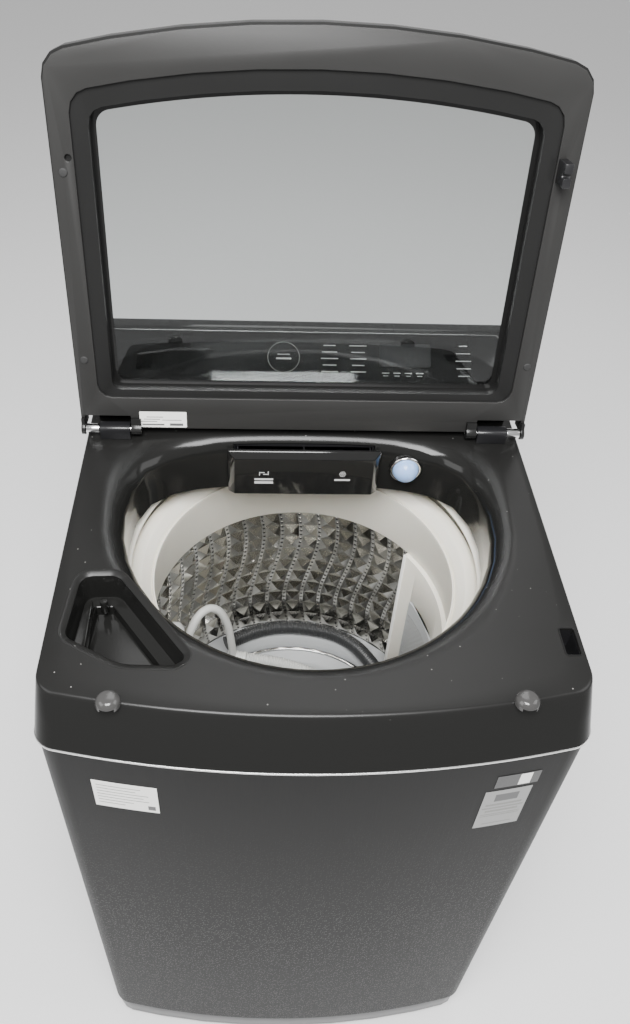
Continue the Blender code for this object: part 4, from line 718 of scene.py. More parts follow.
def stowed_hoses():
    """Ribbed drain hose with its hook, and ribbed fill hose with its nut, coiled in the drum."""
    drain_line = smooth_route(DRAIN_HOSE_ROUTE, 0.0011)
    fill_line = smooth_route(INLET_HOSE_ROUTE, 0.00120)
    ribs = (1.0, 1.0, 0.82, 0.82)
    drain = hose("drain_hose_ribbed", drain_line, HOSE_RADIUS, ribs, PALE_HOSE, "pale_plastic",
                 "drain_hose")
    fill = hose("fill_hose_ribbed", fill_line, DARK_HOSE_RADIUS, ribs, DARK_HOSE, "dark_hose",
                "inlet_hose")

    hook = tube_mesh("hook_tube", smooth_route(HOOK_ROUTE, 0.006), HOOK_TUBE_RADIUS, 24)
    finished(hook, PALE, "basket", "pale_plastic", "hose_hook")
    grip = HOSE_RADIUS + 0.0006
    profile = [(grip - 0.003, 0.0004), (grip, 0.0010)]
    for k in range(4):
        z = 0.006 + 0.0065 * k
        profile += [(grip, z), (grip - 0.0012, z + 0.001), (grip - 0.0012, z + 0.003),
                    (grip, z + 0.004)]
    profile += [(grip, COLLAR_LENGTH - 0.003), (grip - 0.003, COLLAR_LENGTH),
                (0.004, COLLAR_LENGTH), (0.004, 0.0004), profile[0]]
    collar = turned("hook_collar", profile, 48, axis=along(drain_line[0], drain_line[4]))
    finished(collar, PALE, "basket", "pale_plastic")

    end = along(fill_line[-1], fill_line[-5])
    profile = bent([(0.004, 0.0005), (0.0145, 0.0005), (0.0182, 0.005), (0.0182, 0.021),
                    (0.0158, 0.036), (0.0105, 0.0440), (0.0, 0.0455)], 0.004, 4)
    nut = turned("fill_nut", profile, 48, axis=end)
    for k in range(NUT_RIBS):
        rib = block("rib", (0.0170, 0.0189), (-0.0011, 0.0011), (0.006, 0.020))
        rib.data.transform(end @ Matrix.Rotation(2 * pi * k / NUT_RIBS, 4, "Z"))
        combined(nut, "UNION", rib)
    finished(nut, PALE, "basket", "pale_plastic", "inlet_hose_nut")

    round(run_length(drain_line), 3)
    round(run_length(fill_line), 3)


# ---------------------------------------------------------------- top cover
TOP_HALF, BAND_HALF = 0.2986, 0.3018
TOP_APEX, BAND_APEX, LOW_APEX = FRONT_Y + 0.0322, FRONT_Y + 0.0157, FRONT_Y + 0.001
BAND_Z = TOP_Z - 0.0304
COVER_WALL = 0.0025
CUP_OUTLINE = [
    (-0.2785, -0.1060, 0.024), (-0.2235, -0.1040, 0.028), (-0.1290, -0.2330, 0.016),
    (-0.1530, -0.2490, 0.016), (-0.2150, -0.2470, 0.060), (-0.2860, -0.2060, 0.022),
]
SLOT_X, SLOT_Y = (0.2762, 0.2924), (-0.2274, -0.1912)
NOZZLE_X, NOZZLE_Y, NOZZLE_Z = 0.144, 0.1220, TOP_Z - 0.040
MOUTH_RADIUS, ROLL_RADIUS = 0.2346, 0.2467
FOOT_REAR, LIP_REAR, ROLL_REAR = 0.1320, 0.1360, 0.1385
ROLL_STEPS = 10


def mouth_reach(angle, radius, rear, flare, power):
    """Distance from the drum axis to the mouth's edge: a circle with a flat rear wall.

    The flare widens it towards the rear, and a higher power makes its two corners sharper.
    """
    reach = radius
    if sin(angle) > 0.02:
        reach += flare * sin(angle)
        wall = (rear - DRUM_Y) / sin(angle)
        reach = (reach**-power + wall**-power) ** (-1 / power)
    return reach + 0.005 * max(0.0, -sin(angle)) ** 3


def cover():
    """Skin from the foot of the mouth's wall over the rolled lip, the deck, the bevel and the band."""
    top = body_outline(TOP_HALF, TOP_APEX, REAR_Y)
    band = body_outline(BAND_HALF, BAND_APEX, REAR_Y)
    low = body_outline(HALF_WIDTH - 0.0005, LOW_APEX, REAR_Y)
    lines = []
    for (tx, ty), (bx, by), (lx, ly) in zip(top, band, low):
        angle = atan2(ty - DRUM_Y, tx)

        def ring_point(reach, z):
            return Vector((reach * cos(angle), DRUM_Y + reach * sin(angle), z))

        foot = mouth_reach(angle, MOUTH_RADIUS, FOOT_REAR, 0.0, 5)
        lip = mouth_reach(angle, MOUTH_RADIUS, LIP_REAR, 0.0, 5)
        upper = mouth_reach(angle, ROLL_RADIUS, ROLL_REAR, 0.040, 10)
        line = [ring_point(foot + 0.002, TOP_Z - 0.083), ring_point(foot, TOP_Z - 0.0815),
                ring_point((foot + lip) / 2, TOP_Z - 0.055)]
        for k in range(ROLL_STEPS + 1):
            t = k / ROLL_STEPS
            out = 2 * t * (1 - t) * 0.005 + t * t * (upper - lip + 0.013)
            sunk = 0.025 * (1 - t) ** 2 + 0.0035 * 2 * t * (1 - t)
            line.append(ring_point(lip + out, TOP_Z - sunk))
        edge = Vector((tx, ty, TOP_Z))
        line += [line[-1].lerp(edge, t) for t in (0.12, 0.4, 0.75)]
        down = [line[-1], edge, Vector((bx, by, BAND_Z)), Vector((lx, ly, TRIM_HIGH + 0.0003))]
        lines.append(line + bent(down, 0.0035, 3)[1:])
    skin = lofted("cover_skin", [list(ring) for ring in zip(*lines)])
    if sum(p.normal.z * p.area for p in skin.data.polygons) < 0:
        edit_all(skin)
        bpy.ops.mesh.flip_normals()
        bpy.ops.object.mode_set(mode="OBJECT")
    modify(skin, "SOLIDIFY", thickness=COVER_WALL, offset=-1.0, use_even_offset=True)
    through = (TOP_Z - 0.02, TOP_Z + 0.02)
    cup = plate("cup_hole", rounded(inset(CUP_OUTLINE, 0.0008)), *through)
    slot = block("slot_hole", SLOT_X, SLOT_Y, through)
    gate = block("gate_hole", (-0.0990, 0.0990), (0.110, 0.175), (TOP_Z - 0.0755, TOP_Z - 0.0095))
    nozzle = rod("nozzle_hole", (NOZZLE_X, NOZZLE_Y + 0.020, NOZZLE_Z), 0.0226, 0.06, FORWARD)
    cut(skin, cup, slot, gate, nozzle)
    finished(skin, DECK, "cabinet", "cover_plastic", "top_cover")


def deck_fittings():
    """Pour cup, bezel of the latch slot and the two lid stops."""
    depths = [
        (0.0110, -0.0560), (0.0061, -0.0545), (0.0061, -0.0030), (0.0, -0.0030), (0.0, 0.0001),
        (0.0004, 0.0005), (0.0016, 0.0006), (0.0026, 0.0001), (0.0074, -0.0016), (0.0084, -0.0026),
        (0.0089, -0.0060), (0.0098, -0.0360), (0.0104, -0.0388), (0.0122, -0.0396),
        (0.0225, -0.0399), (0.0240, -0.0410), (0.0247, -0.0500), (0.0252, -0.0536),
    ]
    rings = [at_height(rounded(inset(CUP_OUTLINE, d), 10), TOP_Z + z) for d, z in depths]
    cup = lofted("pour_cup", rings, capped=True)
    finished(cup, DECK, "cabinet", "cover_plastic", "bleach_cup")
    floor = TOP_Z - 0.0398
    ribs = block("cup_rib", (-0.2600, -0.2575), (-0.2000, -0.1330), (floor - 0.002, floor + 0.016))
    combined(ribs, "UNION", rod("post", (-0.2450, -0.1330, floor + 0.006), 0.0045, 0.020))
    finished(soften(ribs, 0.0008), DECK, "cabinet", "cover_plastic")

    def slot_ring(grow, z):
        x, y = [(low - grow, high + grow) for low, high in (SLOT_X, SLOT_Y)]
        return at_height(oblong(x, y, 0.0022 + grow, 4), TOP_Z + z)

    profile = [(0.0001, -0.0078), (0.0001, 0.0004), (0.0004, 0.0008), (0.0014, 0.0008),
               (0.0018, 0.0002), (0.0018, -0.0004), (0.0006, -0.0006), (0.0006, -0.0078),
               (0.0001, -0.0078)]
    bezel = lofted("slot_bezel", [slot_ring(grow, z) for grow, z in profile])
    finished(bezel, PIANO, "cabinet", "cover_plastic")

    low, high = TOP_Z + 0.0001, TOP_Z + 0.0114
    for side, name in ((-1, "left"), (1, "right")):
        dome = bent([(0.0, high), (0.0085, high - 0.0008), (0.0127, high - 0.0055),
                     (0.0134, low + 0.0012), (0.0136, low), (0.0, low)], 0.003, 5)
        stop = turned(f"lid_stop_{name}", dome, 64, (side * 0.218, -0.289, 0))
        bite = rod("bite", (side * 0.218, -0.3005, low + 0.0020), 0.0075, 0.0045)
        cut(stop, bite)
        finished(stop, CHARCOAL_STOP, "cabinet", "rubber", f"bumper_{name}")


# ---------------------------------------------------------------- cabinet
SHEET_HALF, SHEET_FRONT, SHEET_THICK = 0.3015, FRONT_Y + 0.002, 0.0012
THREAD_PITCH = 0.0021


def u_band(name, half, apex, rear, thick, low, high, flange):
    """Band round the front and sides of the cabinet, with an optional flange across the back."""

    def path(inward):
        corner = CORNER - inward
        points = body_outline(half - inward, apex + inward, rear - inward, corner, 0.004)
        gone = [abs(x) < half - max(flange, 0.001) and y > rear - 0.006 for x, y in points]
        last = max(k for k, away in enumerate(gone) if away) + 1
        order = list(range(last, len(points))) + list(range(last))
        return [points[k] for k in order if not gone[k]]

    outer, inner = path(0.0), path(thick)
    return plate(name, outer + inner[::-1], low, high)


def cabinet():
    """Sheet round the front and sides, bright strip above it and the four feet."""
    rear = REAR_Y - SHEET_THICK - 0.0003
    low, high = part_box("cabinet_wrap")[0].z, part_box("cabinet_wrap")[1].z
    wrap = u_band("front_and_sides", SHEET_HALF, SHEET_FRONT, rear, SHEET_THICK, low, high, 0.022)
    finished(wrap, SHEET, "cabinet", "cabinet_sheet", "cabinet_wrap")
    strip = u_band("bright_strip", HALF_WIDTH, FRONT_Y, REAR_Y, 0.0042, TRIM_LOW, TRIM_HIGH, 0.0)
    finished(soften(strip, 0.0007, 2), TRIM, "cabinet", "silver_trim", "trim_strip")
    for node in ("foot_front_left", "foot_front_right", "foot_rear_left", "foot_rear_right"):
        low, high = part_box(node)
        pad = (high.x - low.x) / 2
        centre = (low.x + pad, (low.y + high.y) / 2, 0)
        profile = [(0.0, 0.0417)]
        for k in range(14):
            z = 0.0410 - THREAD_PITCH * k
            profile += [(0.0060, z), (0.0053, z - THREAD_PITCH / 2)]
        profile += [(0.0060, 0.0116), (0.0150, 0.0115), (0.0170, 0.0098), (0.0180, 0.0098),
                    (0.0205, 0.0075), (0.0207, 0.0050), (0.0209, 0.0020), (0.0200, 0.0002),
                    (0.0, 0.0002)]
        finished(turned(f"{node}_pad", profile, 48, centre), RUBBER, node, "rubber", node)


def front_labels():
    """Blank labels on the bowed front, with plain bars in place of their wording."""
    steps = 8

    def wrapped(name, x, depths, rise, mat, slot):
        xs = [x[0] + (x[1] - x[0]) * k / steps for k in range(steps + 1)]
        rings = []
        for depth in depths:
            row = [(p, front_y(p, SHEET_FRONT) - rise) for p in xs]
            back = [(p, y + 0.0003) for p, y in reversed(row)]
            rings.append(at_height(row + back, TOP_Z - depth))
        finished(lofted(name, rings, capped=True), mat, "cabinet", slot)

    left, first, last = -0.2420, 0.1940, 0.2495
    wrapped("energy_label", (-0.2465, -0.1735), (0.1690, 0.1125), 0.0004, LABEL_AND_EDGE_HIGHLIGHT, "pale_plastic")
    wrapped("warranty_label", (first, last), (0.2180, 0.1310), 0.0004, SILVER_LABEL, "grey_plastic")
    wrapped("badge_strip", (0.2017, 0.2530), (0.1240, 0.0980), 0.0004, PIANO, "gloss_black")
    wrapped("badge_block", (0.2290, 0.2430), (0.1225, 0.1000), 0.0006, LABEL_AND_EDGE_HIGHLIGHT, "pale_plastic")
    for k, width in enumerate((0.050, 0.044, 0.058, 0.052, 0.058, 0.040, 0.030)):
        top = 0.1205 + 0.0064 * k
        wrapped(f"energy_line_{k}", (left, left + width), (top + 0.0012, top), 0.0005, DIM_PRINT_AND_SLOT_SHADE,
                "black_plastic")
    wrapped("energy_code", (-0.1860, -0.1775), (0.1640, 0.1550), 0.0005, INK, "black_plastic")
    wrapped("warranty_block", (0.2080, 0.2360), (0.1560, 0.1400), 0.0005, INK, "black_plastic")
    lines = ((0.162, 0.006, 0.004), (0.170, 0.003, 0.003), (0.177, 0.008, 0.004),
             (0.186, 0.004, 0.0015), (0.190, 0.004, 0.0015), (0.209, 0.010, 0.0015))
    for k, (top, inward, high) in enumerate(lines):
        wrapped(f"warranty_line_{k}", (first + inward, last - inward), (top + high, top), 0.0005,
                DIM_PRINT_AND_SLOT_SHADE, "black_plastic")


def back_of_machine():
    """Beads and screws of the rear sheet, and the threads of the valve's ports."""
    low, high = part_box("rear_panel")
    lay = Matrix.Translation((0, REAR_Y, 0)) @ FORWARD
    for k, z in enumerate((0.140, 0.260, 0.380, 0.500, 0.620)):
        half = 0.255 if z > 0.2 else 0.190
        rings = []
        for inward, radius, out in ((0.0, 0.010, 0.0003), (0.003, 0.008, -0.0010),
                                    (0.006, 0.005, -0.0016)):
            x = (-half + inward, half - 0.070 - inward)
            y = (z - 0.011 + inward, z + 0.011 - inward)
            rings.append(at_height(oblong(x, y, radius, 6), out))
        bead = lofted(f"rear_bead_{k}", rings, capped=True)
        bead.data.transform(lay)
        finished(bead, ZINC, "cabinet", "rear_sheet")
    lip_x, lip_low, lip_high = high.x - 0.010, low.z + 0.014, high.z - 0.014
    places = [(x, z) for x in (-lip_x, lip_x) for z in (lip_low, 0.27, 0.48, 0.69, lip_high)]
    places += [(x, z) for x in (-0.15, 0.0, 0.15) for z in (lip_low, lip_high)]
    profile = [(0.0, 0.0024), (0.0025, 0.0022), (0.0038, 0.0012), (0.0042, 0.0), (0.0, 0.0)]
    for k, (x, z) in enumerate(places):
        head = turned(f"rear_screw_{k}", profile, 24, (x, REAR_Y, z), BACKWARD)
        for turn in (0, pi / 2):
            slot = block("slot", (-0.0024, 0.0024), (0.0012, 0.0040), (-0.0005, 0.0005))
            slot.data.transform(Matrix.Translation((x, REAR_Y, z)) @ Matrix.Rotation(turn, 4, "Y"))
            cut(head, slot)
        finished(head, ZINC, "cabinet", "galvanised_steel")
    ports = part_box("inlet_valve")
    for k, (x, mat) in enumerate(((-0.185, BLUE), (-0.137, PALE))):
        z = (ports[0].z + ports[1].z) / 2
        profile = []
        for i in range(4):
            y = 0.0030 + 0.0030 * i
            profile += [(0.0131, y), (0.0140, y + 0.0008), (0.0140, y + 0.0012), (0.0131, y + 0.0022)]
        profile = [(0.0120, 0.0026)] + profile + [(0.0120, 0.0160), (0.0120, 0.0026)]
        thread = turned(f"valve_thread_{k}", profile, 48, (x, REAR_Y, z), BACKWARD)
        finished(thread, mat, "cabinet", "pale_plastic")


# ---------------------------------------------------------------- console and dispenser
CONSOLE_LOW, CONSOLE_HIGH = (0.181, TOP_Z + 0.046), (0.259, TOP_Z + 0.102)


def console_face():
    """Frame of the sloping face: its middle, x to the right, y up the slope, z outwards."""
    (y0, z0), (y1, z1) = CONSOLE_LOW, CONSOLE_HIGH
    slope = atan2(z1 - z0, y1 - y0)
    return Matrix.Translation((0, (y0 + y1) / 2, (z0 + z1) / 2)) @ Matrix.Rotation(slope, 4, "X")


def ring_mark(name, centre, radius, width, matrix, steps):
    """Printed ring lying on a plane."""
    outer = radius + width
    profile = [(radius, 0.0), (radius, PRINT_THICK), (outer, PRINT_THICK), (outer, 0.0), (radius, 0.0)]
    return turned(name, profile, steps, axis=matrix @ Matrix.Translation((*centre, 0)))


def console():
    """Bright border, ring, marks and display window of the sloping face."""
    face = console_face() @ Matrix.Translation((0, 0, 0.0034))
    half_x, half_y = 0.2735, 0.0405
    edge = [(-half_x, -half_y, 0.004), (half_x, -half_y, 0.004), (half_x, half_y, 0.008),
            (-half_x, half_y, 0.008)]
    profile = [(0.0, -0.0001), (0.0, 0.0004), (0.0009, 0.0004), (0.0009, -0.0001), (0.0, -0.0001)]
    border = lofted("console_border", [at_height(rounded(inset(edge, d), 6), z) for d, z in profile])
    border.data.transform(face)
    finished(border, TRIM, "cabinet", "silver_trim")
    dial = ring_mark("console_ring", (-0.030, 0.004), 0.0215, 0.0010, face, 96)
    finished(dial, DIM_PRINT_AND_SLOT_SHADE, "cabinet", "gloss_black")
    rects = [(-0.030, 0.008, 0.017, 0.0012), (-0.030, 0.002, 0.021, 0.0024)]
    for column, x in enumerate((0.034, 0.074)):
        for row in range(5):
            width = (0.017, 0.021, 0.024, 0.019, 0.023)[(row + 2 * column) % 5]
            rects.append((x, 0.022 - 0.0095 * row, width, 0.0013))
    for k in range(4):
        rects.append((0.112 + 0.016 * k, -0.017, 0.010, 0.0013))
        rects.append((0.112 + 0.016 * k, -0.021, 0.007, 0.0009))
    for row in range(5):
        rects.append((0.222, 0.024 - 0.011 * row, (0.012, 0.020, 0.022, 0.020, 0.016)[row], 0.0013))
    finished(bars("console_marks", rects, face), WHITE_PRINT, "cabinet", "gloss_black")
    window = plate("console_display", oblong((0.104, 0.176), (-0.008, 0.026), 0.003, 4), 0.0, 0.0003, face)
    finished(window, BLACK_AND_HOLE_SHADE, "cabinet", "gloss_black")


def drawer_face():
    """Frame of the drawer front's flat face, x to the right, y up and z out of it."""
    low = Vector((0, 0.1060, TOP_Z - 0.0745))
    high = Vector((0, 0.1120, TOP_Z - 0.0150))
    slope = atan2(high.z - low.z, high.y - low.y)
    return Matrix.Translation((low + high) / 2) @ Matrix.Rotation(slope, 4, "X")


def dispenser():
    """Marks of the drawer's front, and the nozzle with its chrome socket and blue cap."""
    face = drawer_face() @ Matrix.Translation((0, 0, 0.0001))
    rects = [
        (-0.056, -0.004, 0.026, 0.0030), (-0.056, -0.0095, 0.026, 0.0038), (0.054, -0.004, 0.022, 0.0028),
        (-0.0585, 0.0075, 0.007, 0.0012), (-0.0535, 0.0045, 0.007, 0.0012),
        (-0.0500, 0.0065, 0.0012, 0.006), (-0.0620, 0.0055, 0.0012, 0.006),
    ]
    finished(bars("drawer_marks", rects, face), WHITE_PRINT, "drawer", "gloss_black")
    for k in range(6):
        a = pi / 3 * k
        centre = (0.054 + 0.0028 * cos(a), 0.0060 + 0.0028 * sin(a))
        petal = ring_mark(f"drawer_petal_{k}", centre, 0.0013, 0.0006, face, 20)
        finished(petal, WHITE_PRINT, "drawer", "gloss_black")
    centre = (NOZZLE_X, NOZZLE_Y, NOZZLE_Z)
    ring = bent([(0.0168, -0.010), (0.0168, 0.0008), (0.0182, 0.0022), (0.0212, 0.0020),
                 (0.0224, 0.0004), (0.0224, -0.0270), (0.0060, -0.0270), (0.0060, -0.0100),
                 (0.0168, -0.010)], 0.0010, 3)
    collar = turned("nozzle_ring", ring, 64, centre, FORWARD)
    finished(collar, CHROME, "cabinet", "hinge_chrome", "nozzle_socket")
    dome = [(0.0, 0.0180)]
    for a in range(8, 91, 8):
        dome.append((0.0183 * sin(radians(a)), 0.0004 + 0.0176 * cos(radians(a))))
    dome += [(0.0183, -0.0030), (0.0, -0.0030)]
    cap = turned("nozzle_dome", dome, 64, centre, FORWARD)
    finished(cap, BLUE, "cabinet", "blue_plastic", "nozzle_cap")


# ---------------------------------------------------------------- lid
LID_THICK = 0.0264


def lid_outline(half, near, far, corner, near_corner):
    """Plan of the lid lying closed: straight rear edge, bowed front, measured from the hinge line."""
    front = bow(half, 0.0, 33)
    sag = front[0][1]
    corners = [(-x, -(far - (y - sag)), corner if i in (0, len(front) - 1) else 0.0)
               for i, (x, y) in enumerate(reversed(front))]
    corners += [(half, -near, near_corner), (-half, -near, near_corner)]
    return rounded(corners, 8)


def lid_ring(half, near, far, corner, z):
    return at_height(lid_outline(half, near, far, corner, corner * 0.6), z)


def lid():
    """Glass with its printed border, the frame's sloping reveal, pads, label, hook and hinge pins."""
    pane = lid_outline(0.2847, 0.0353, 0.4287, 0.024, 0.016)
    glass = plate("lid_pane", pane, LID_THICK - 0.0028, LID_THICK, LID)
    finished(glass, GLASS, "lid", "tinted_glass", "lid_glass")
    outer, inner = (0.2840, 0.0360, 0.4280, 0.022), (0.2530, 0.0630, 0.3960, 0.018)
    low, high = LID_THICK - 0.0031, LID_THICK - 0.00285
    section = ((outer, low), (inner, low), (inner, high), (outer, high), (outer, low))
    border = lofted("glass_border", [lid_ring(*plan, z) for plan, z in section])
    border.data.transform(LID)
    finished(border, PIANO, "lid", "gloss_black")

    section = (
        (0.2776, 0.0474, 0.4196, 0.0256, 0.0046), (0.2700, 0.0520, 0.4120, 0.024, 0.0052),
        (0.2620, 0.0560, 0.4045, 0.022, 0.0150), (0.2594, 0.0568, 0.4022, 0.020, 0.0228),
        (0.2600, 0.0562, 0.4030, 0.020, 0.0228), (0.2640, 0.0545, 0.4060, 0.022, 0.0050),
        (0.2776, 0.0474, 0.4196, 0.0256, 0.0043), (0.2776, 0.0474, 0.4196, 0.0256, 0.0046),
    )
    lining = lofted("lid_reveal", [lid_ring(*plan) for plan in section])
    lining.data.transform(LID)
    finished(lining, LID_SHELL, "lid", "cover_plastic")

    profile = bent([(0.0, -0.0016), (0.0042, -0.0014), (0.0052, -0.0004), (0.0054, 0.0006),
                    (0.0, 0.0006)], 0.0008, 3)
    places = [(x, y, 0) for x in (-0.2915, 0.2915) for y in (-0.335, -0.101)]
    for k, place in enumerate(places):
        pad = turned(f"lid_pad_{k}", profile, 40, axis=LID @ Matrix.Translation(place))
        finished(pad, RUBBER, "lid", "rubber")
    label = oblong((-0.2255, -0.1620), (-0.0265, -0.0030), 0.0012, 3)
    finished(plate("lid_label", label, -0.0003, -0.00001, LID), LABEL_AND_EDGE_HIGHLIGHT, "lid", "pale_plastic")
    rects = [(-0.2075, -0.0070, 0.030, 0.0022), (-0.1760, -0.0072, 0.018, 0.0036)]
    rects += [(-0.2130 + 0.004 * k, -0.0118 - 0.0034 * k, 0.022, 0.0009) for k in range(3)]
    rects += [(-0.1820, -0.0140, 0.026, 0.0009)]
    marks = bars("lid_label_marks", rects, LID @ Matrix.Translation((0, 0, -0.0005)))
    finished(marks, INK, "lid", "black_plastic")

    hook = refined("latch_hook", "hook_latch", 0.0005, 2, angle=40.0)
    finished(hook, BLACK_AND_HOLE_SHADE, "lid", "black_plastic", "latch_hook")
    profile = bent([(0.0, 0.3015), (0.0036, 0.3015), (0.0040, 0.2985), (0.0066, 0.2985),
                    (0.0066, 0.2804), (0.0040, 0.2804), (0.0040, 0.2235), (0.0, 0.2235)], 0.0006, 3)
    for side, name in ((-1, "left"), (1, "right")):
        lay = Matrix.Rotation(side * pi / 2, 4, "Y")
        pin = turned(f"hinge_barrel_{name}", profile, 48, (0, HINGE_Y, HINGE_Z), lay)
        finished(pin, CHROME, "lid", "hinge_chrome", f"hinge_pin_{name}")


# ---------------------------------------------------------------- tub and basket
DRUM_AXIS = (0, DRUM_Y, 0)
ROUND_STEPS = 192
BASKET_RADIUS = 0.2425
RELIEF_TOP, RELIEF_LOW = TOP_Z - 0.221, 0.4150
COLUMNS, ROWS, HOLES_PER_ROW = 48, 11, 3
GROOVE = 0.0062
PEAK = 0.0064
WAVE = radians(2.9)
WAVE_LENGTH = 0.33
VANES = 6


def sway(z):
    """Sideways swing of the drum's columns at a height."""
    return -WAVE * sin(2 * pi * (RELIEF_TOP - z) / WAVE_LENGTH)


def drum():
    """Pressed drum wall: columns of pyramids between swaying rows of holes, and a plain outer skin."""
    deselect()
    bpy.ops.mesh.primitive_grid_add(x_subdivisions=2 * COLUMNS, y_subdivisions=ROWS, size=2.0)
    wall = named("drum_relief")
    pick(wall)
    bpy.ops.object.mode_set(mode="EDIT")
    work = bmesh.from_edit_mesh(wall.data)
    for face in work.faces:
        column = int((face.calc_center_median().x + 1) * COLUMNS)
        face.select_set(column % 2 == 1)
    bmesh.update_edit_mesh(wall.data)
    bpy.ops.mesh.poke()
    bpy.ops.object.mode_set(mode="OBJECT")
    pitch, strip = 2 * pi / COLUMNS, GROOVE / BASKET_RADIUS
    for vert in wall.data.vertices:
        across = (vert.co.x + 1) * COLUMNS
        column, rest = divmod(across + 1e-4, 2)
        raised = abs(rest - 1.5) < 0.01
        if rest <= 1.001:
            aside = strip * (rest - 0.5)
        else:
            aside = strip / 2 + (pitch - strip) * (rest - 1)
        z = RELIEF_LOW + (RELIEF_TOP - RELIEF_LOW) * (vert.co.y + 1) / 2
        turn = pitch * column + aside + sway(z)
        reach = BASKET_RADIUS - (PEAK if raised else 0.0)
        vert.co = (reach * cos(turn), DRUM_Y + reach * sin(turn), z)
    tidy_mesh(wall)
    modify(wall, "SOLIDIFY", thickness=0.0005, offset=1.0)
    finished(tidy_mesh(wall), DRUM, "basket", "drum_steel", angle=4.0)

    bore, outer = BASKET_RADIUS + 0.0007, BASKET_RADIUS + 0.0015
    low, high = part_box("wash_basket")[0].z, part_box("wash_basket")[1].z
    skin = [(outer, high), (outer, low + 0.004), (outer - 0.004, low), (0.190, low),
            (0.190, low + 0.0015), (bore - 0.004, low + 0.0015), (bore, low + 0.0055),
            (bore, RELIEF_LOW - 0.0005), (BASKET_RADIUS, RELIEF_LOW - 0.0005),
            (bore, RELIEF_LOW + 0.001), (bore, high), (outer, high)]
    shell = turned("drum_skin", skin, ROUND_STEPS, DRUM_AXIS)
    finished(shell, DRUM, "basket", "drum_steel", "wash_basket")


def stamped(name, shape, faces, places):
    """One mesh with a small shape laid at every place (a matrix)."""
    verts, polys = [], []
    for place in places:
        start = len(verts)
        verts += [tuple(place @ Vector(p)) for p in shape]
        polys += [[start + k for k in face] for face in faces]
    mesh = bpy.data.meshes.new(name)
    mesh.from_pydata(verts, [], polys)
    obj = bpy.data.objects.new(name, mesh)
    bpy.context.scene.collection.objects.link(obj)
    return obj


def ring_shape(profile, sides, cap):
    """Points and faces of a small turned shape; cap closes its last ring."""
    turns = [2 * pi * k / sides for k in range(sides)]
    shape = [(r * cos(a), r * sin(a), z) for r, z in profile for a in turns]
    faces = []
    for row in range(len(profile) - 1):
        for k in range(sides):
            a, b = row * sides + k, row * sides + (k + 1) % sides
            faces.append([a, b, b + sides, a + sides])
    if cap:
        faces.append([(len(profile) - 1) * sides + k for k in range(sides)])
        faces.append(list(reversed(range(sides))))
    return shape, faces


def wall_frame(turn, z, reach=BASKET_RADIUS):
    """Place on the drum wall, with z pointing at the axis."""
    lay = Matrix.Rotation(turn, 4, "Z") @ Matrix.Rotation(-pi / 2, 4, "Y")
    return Matrix.Translation((0, DRUM_Y, z)) @ lay @ Matrix.Translation((0, 0, -reach))


def drum_holes():
    """A bright rim at every hole of the drum wall, and a black disc in its middle as painted shade for the
    open hole.
    """
    rows = ROWS * HOLES_PER_ROW
    places = []
    for column in range(COLUMNS):
        for k in range(rows):
            z = RELIEF_LOW + (RELIEF_TOP - RELIEF_LOW) * (k + 0.5) / rows
            places.append(wall_frame(2 * pi * column / COLUMNS + sway(z), z))
    profile = [(0.0027, 0.0001), (0.0024, 0.0004), (0.0021, 0.0004), (0.0020, -0.0002),
               (0.0027, 0.0001)]
    rim = ring_shape(profile, 10, False)
    finished(tidy_mesh(stamped("drum_hole_rims", *rim, places)), DRUM, "basket", "drum_steel")
    # black discs in the holes are painted shade: the open holes only look dark
    shade_disc = ring_shape([(0.0021, -0.0002), (0.0021, 0.0003)], 10, True)
    finished(stamped("drum_hole_painted_shade", *shade_disc, places), BLACK_AND_HOLE_SHADE, "basket", "drum_steel")


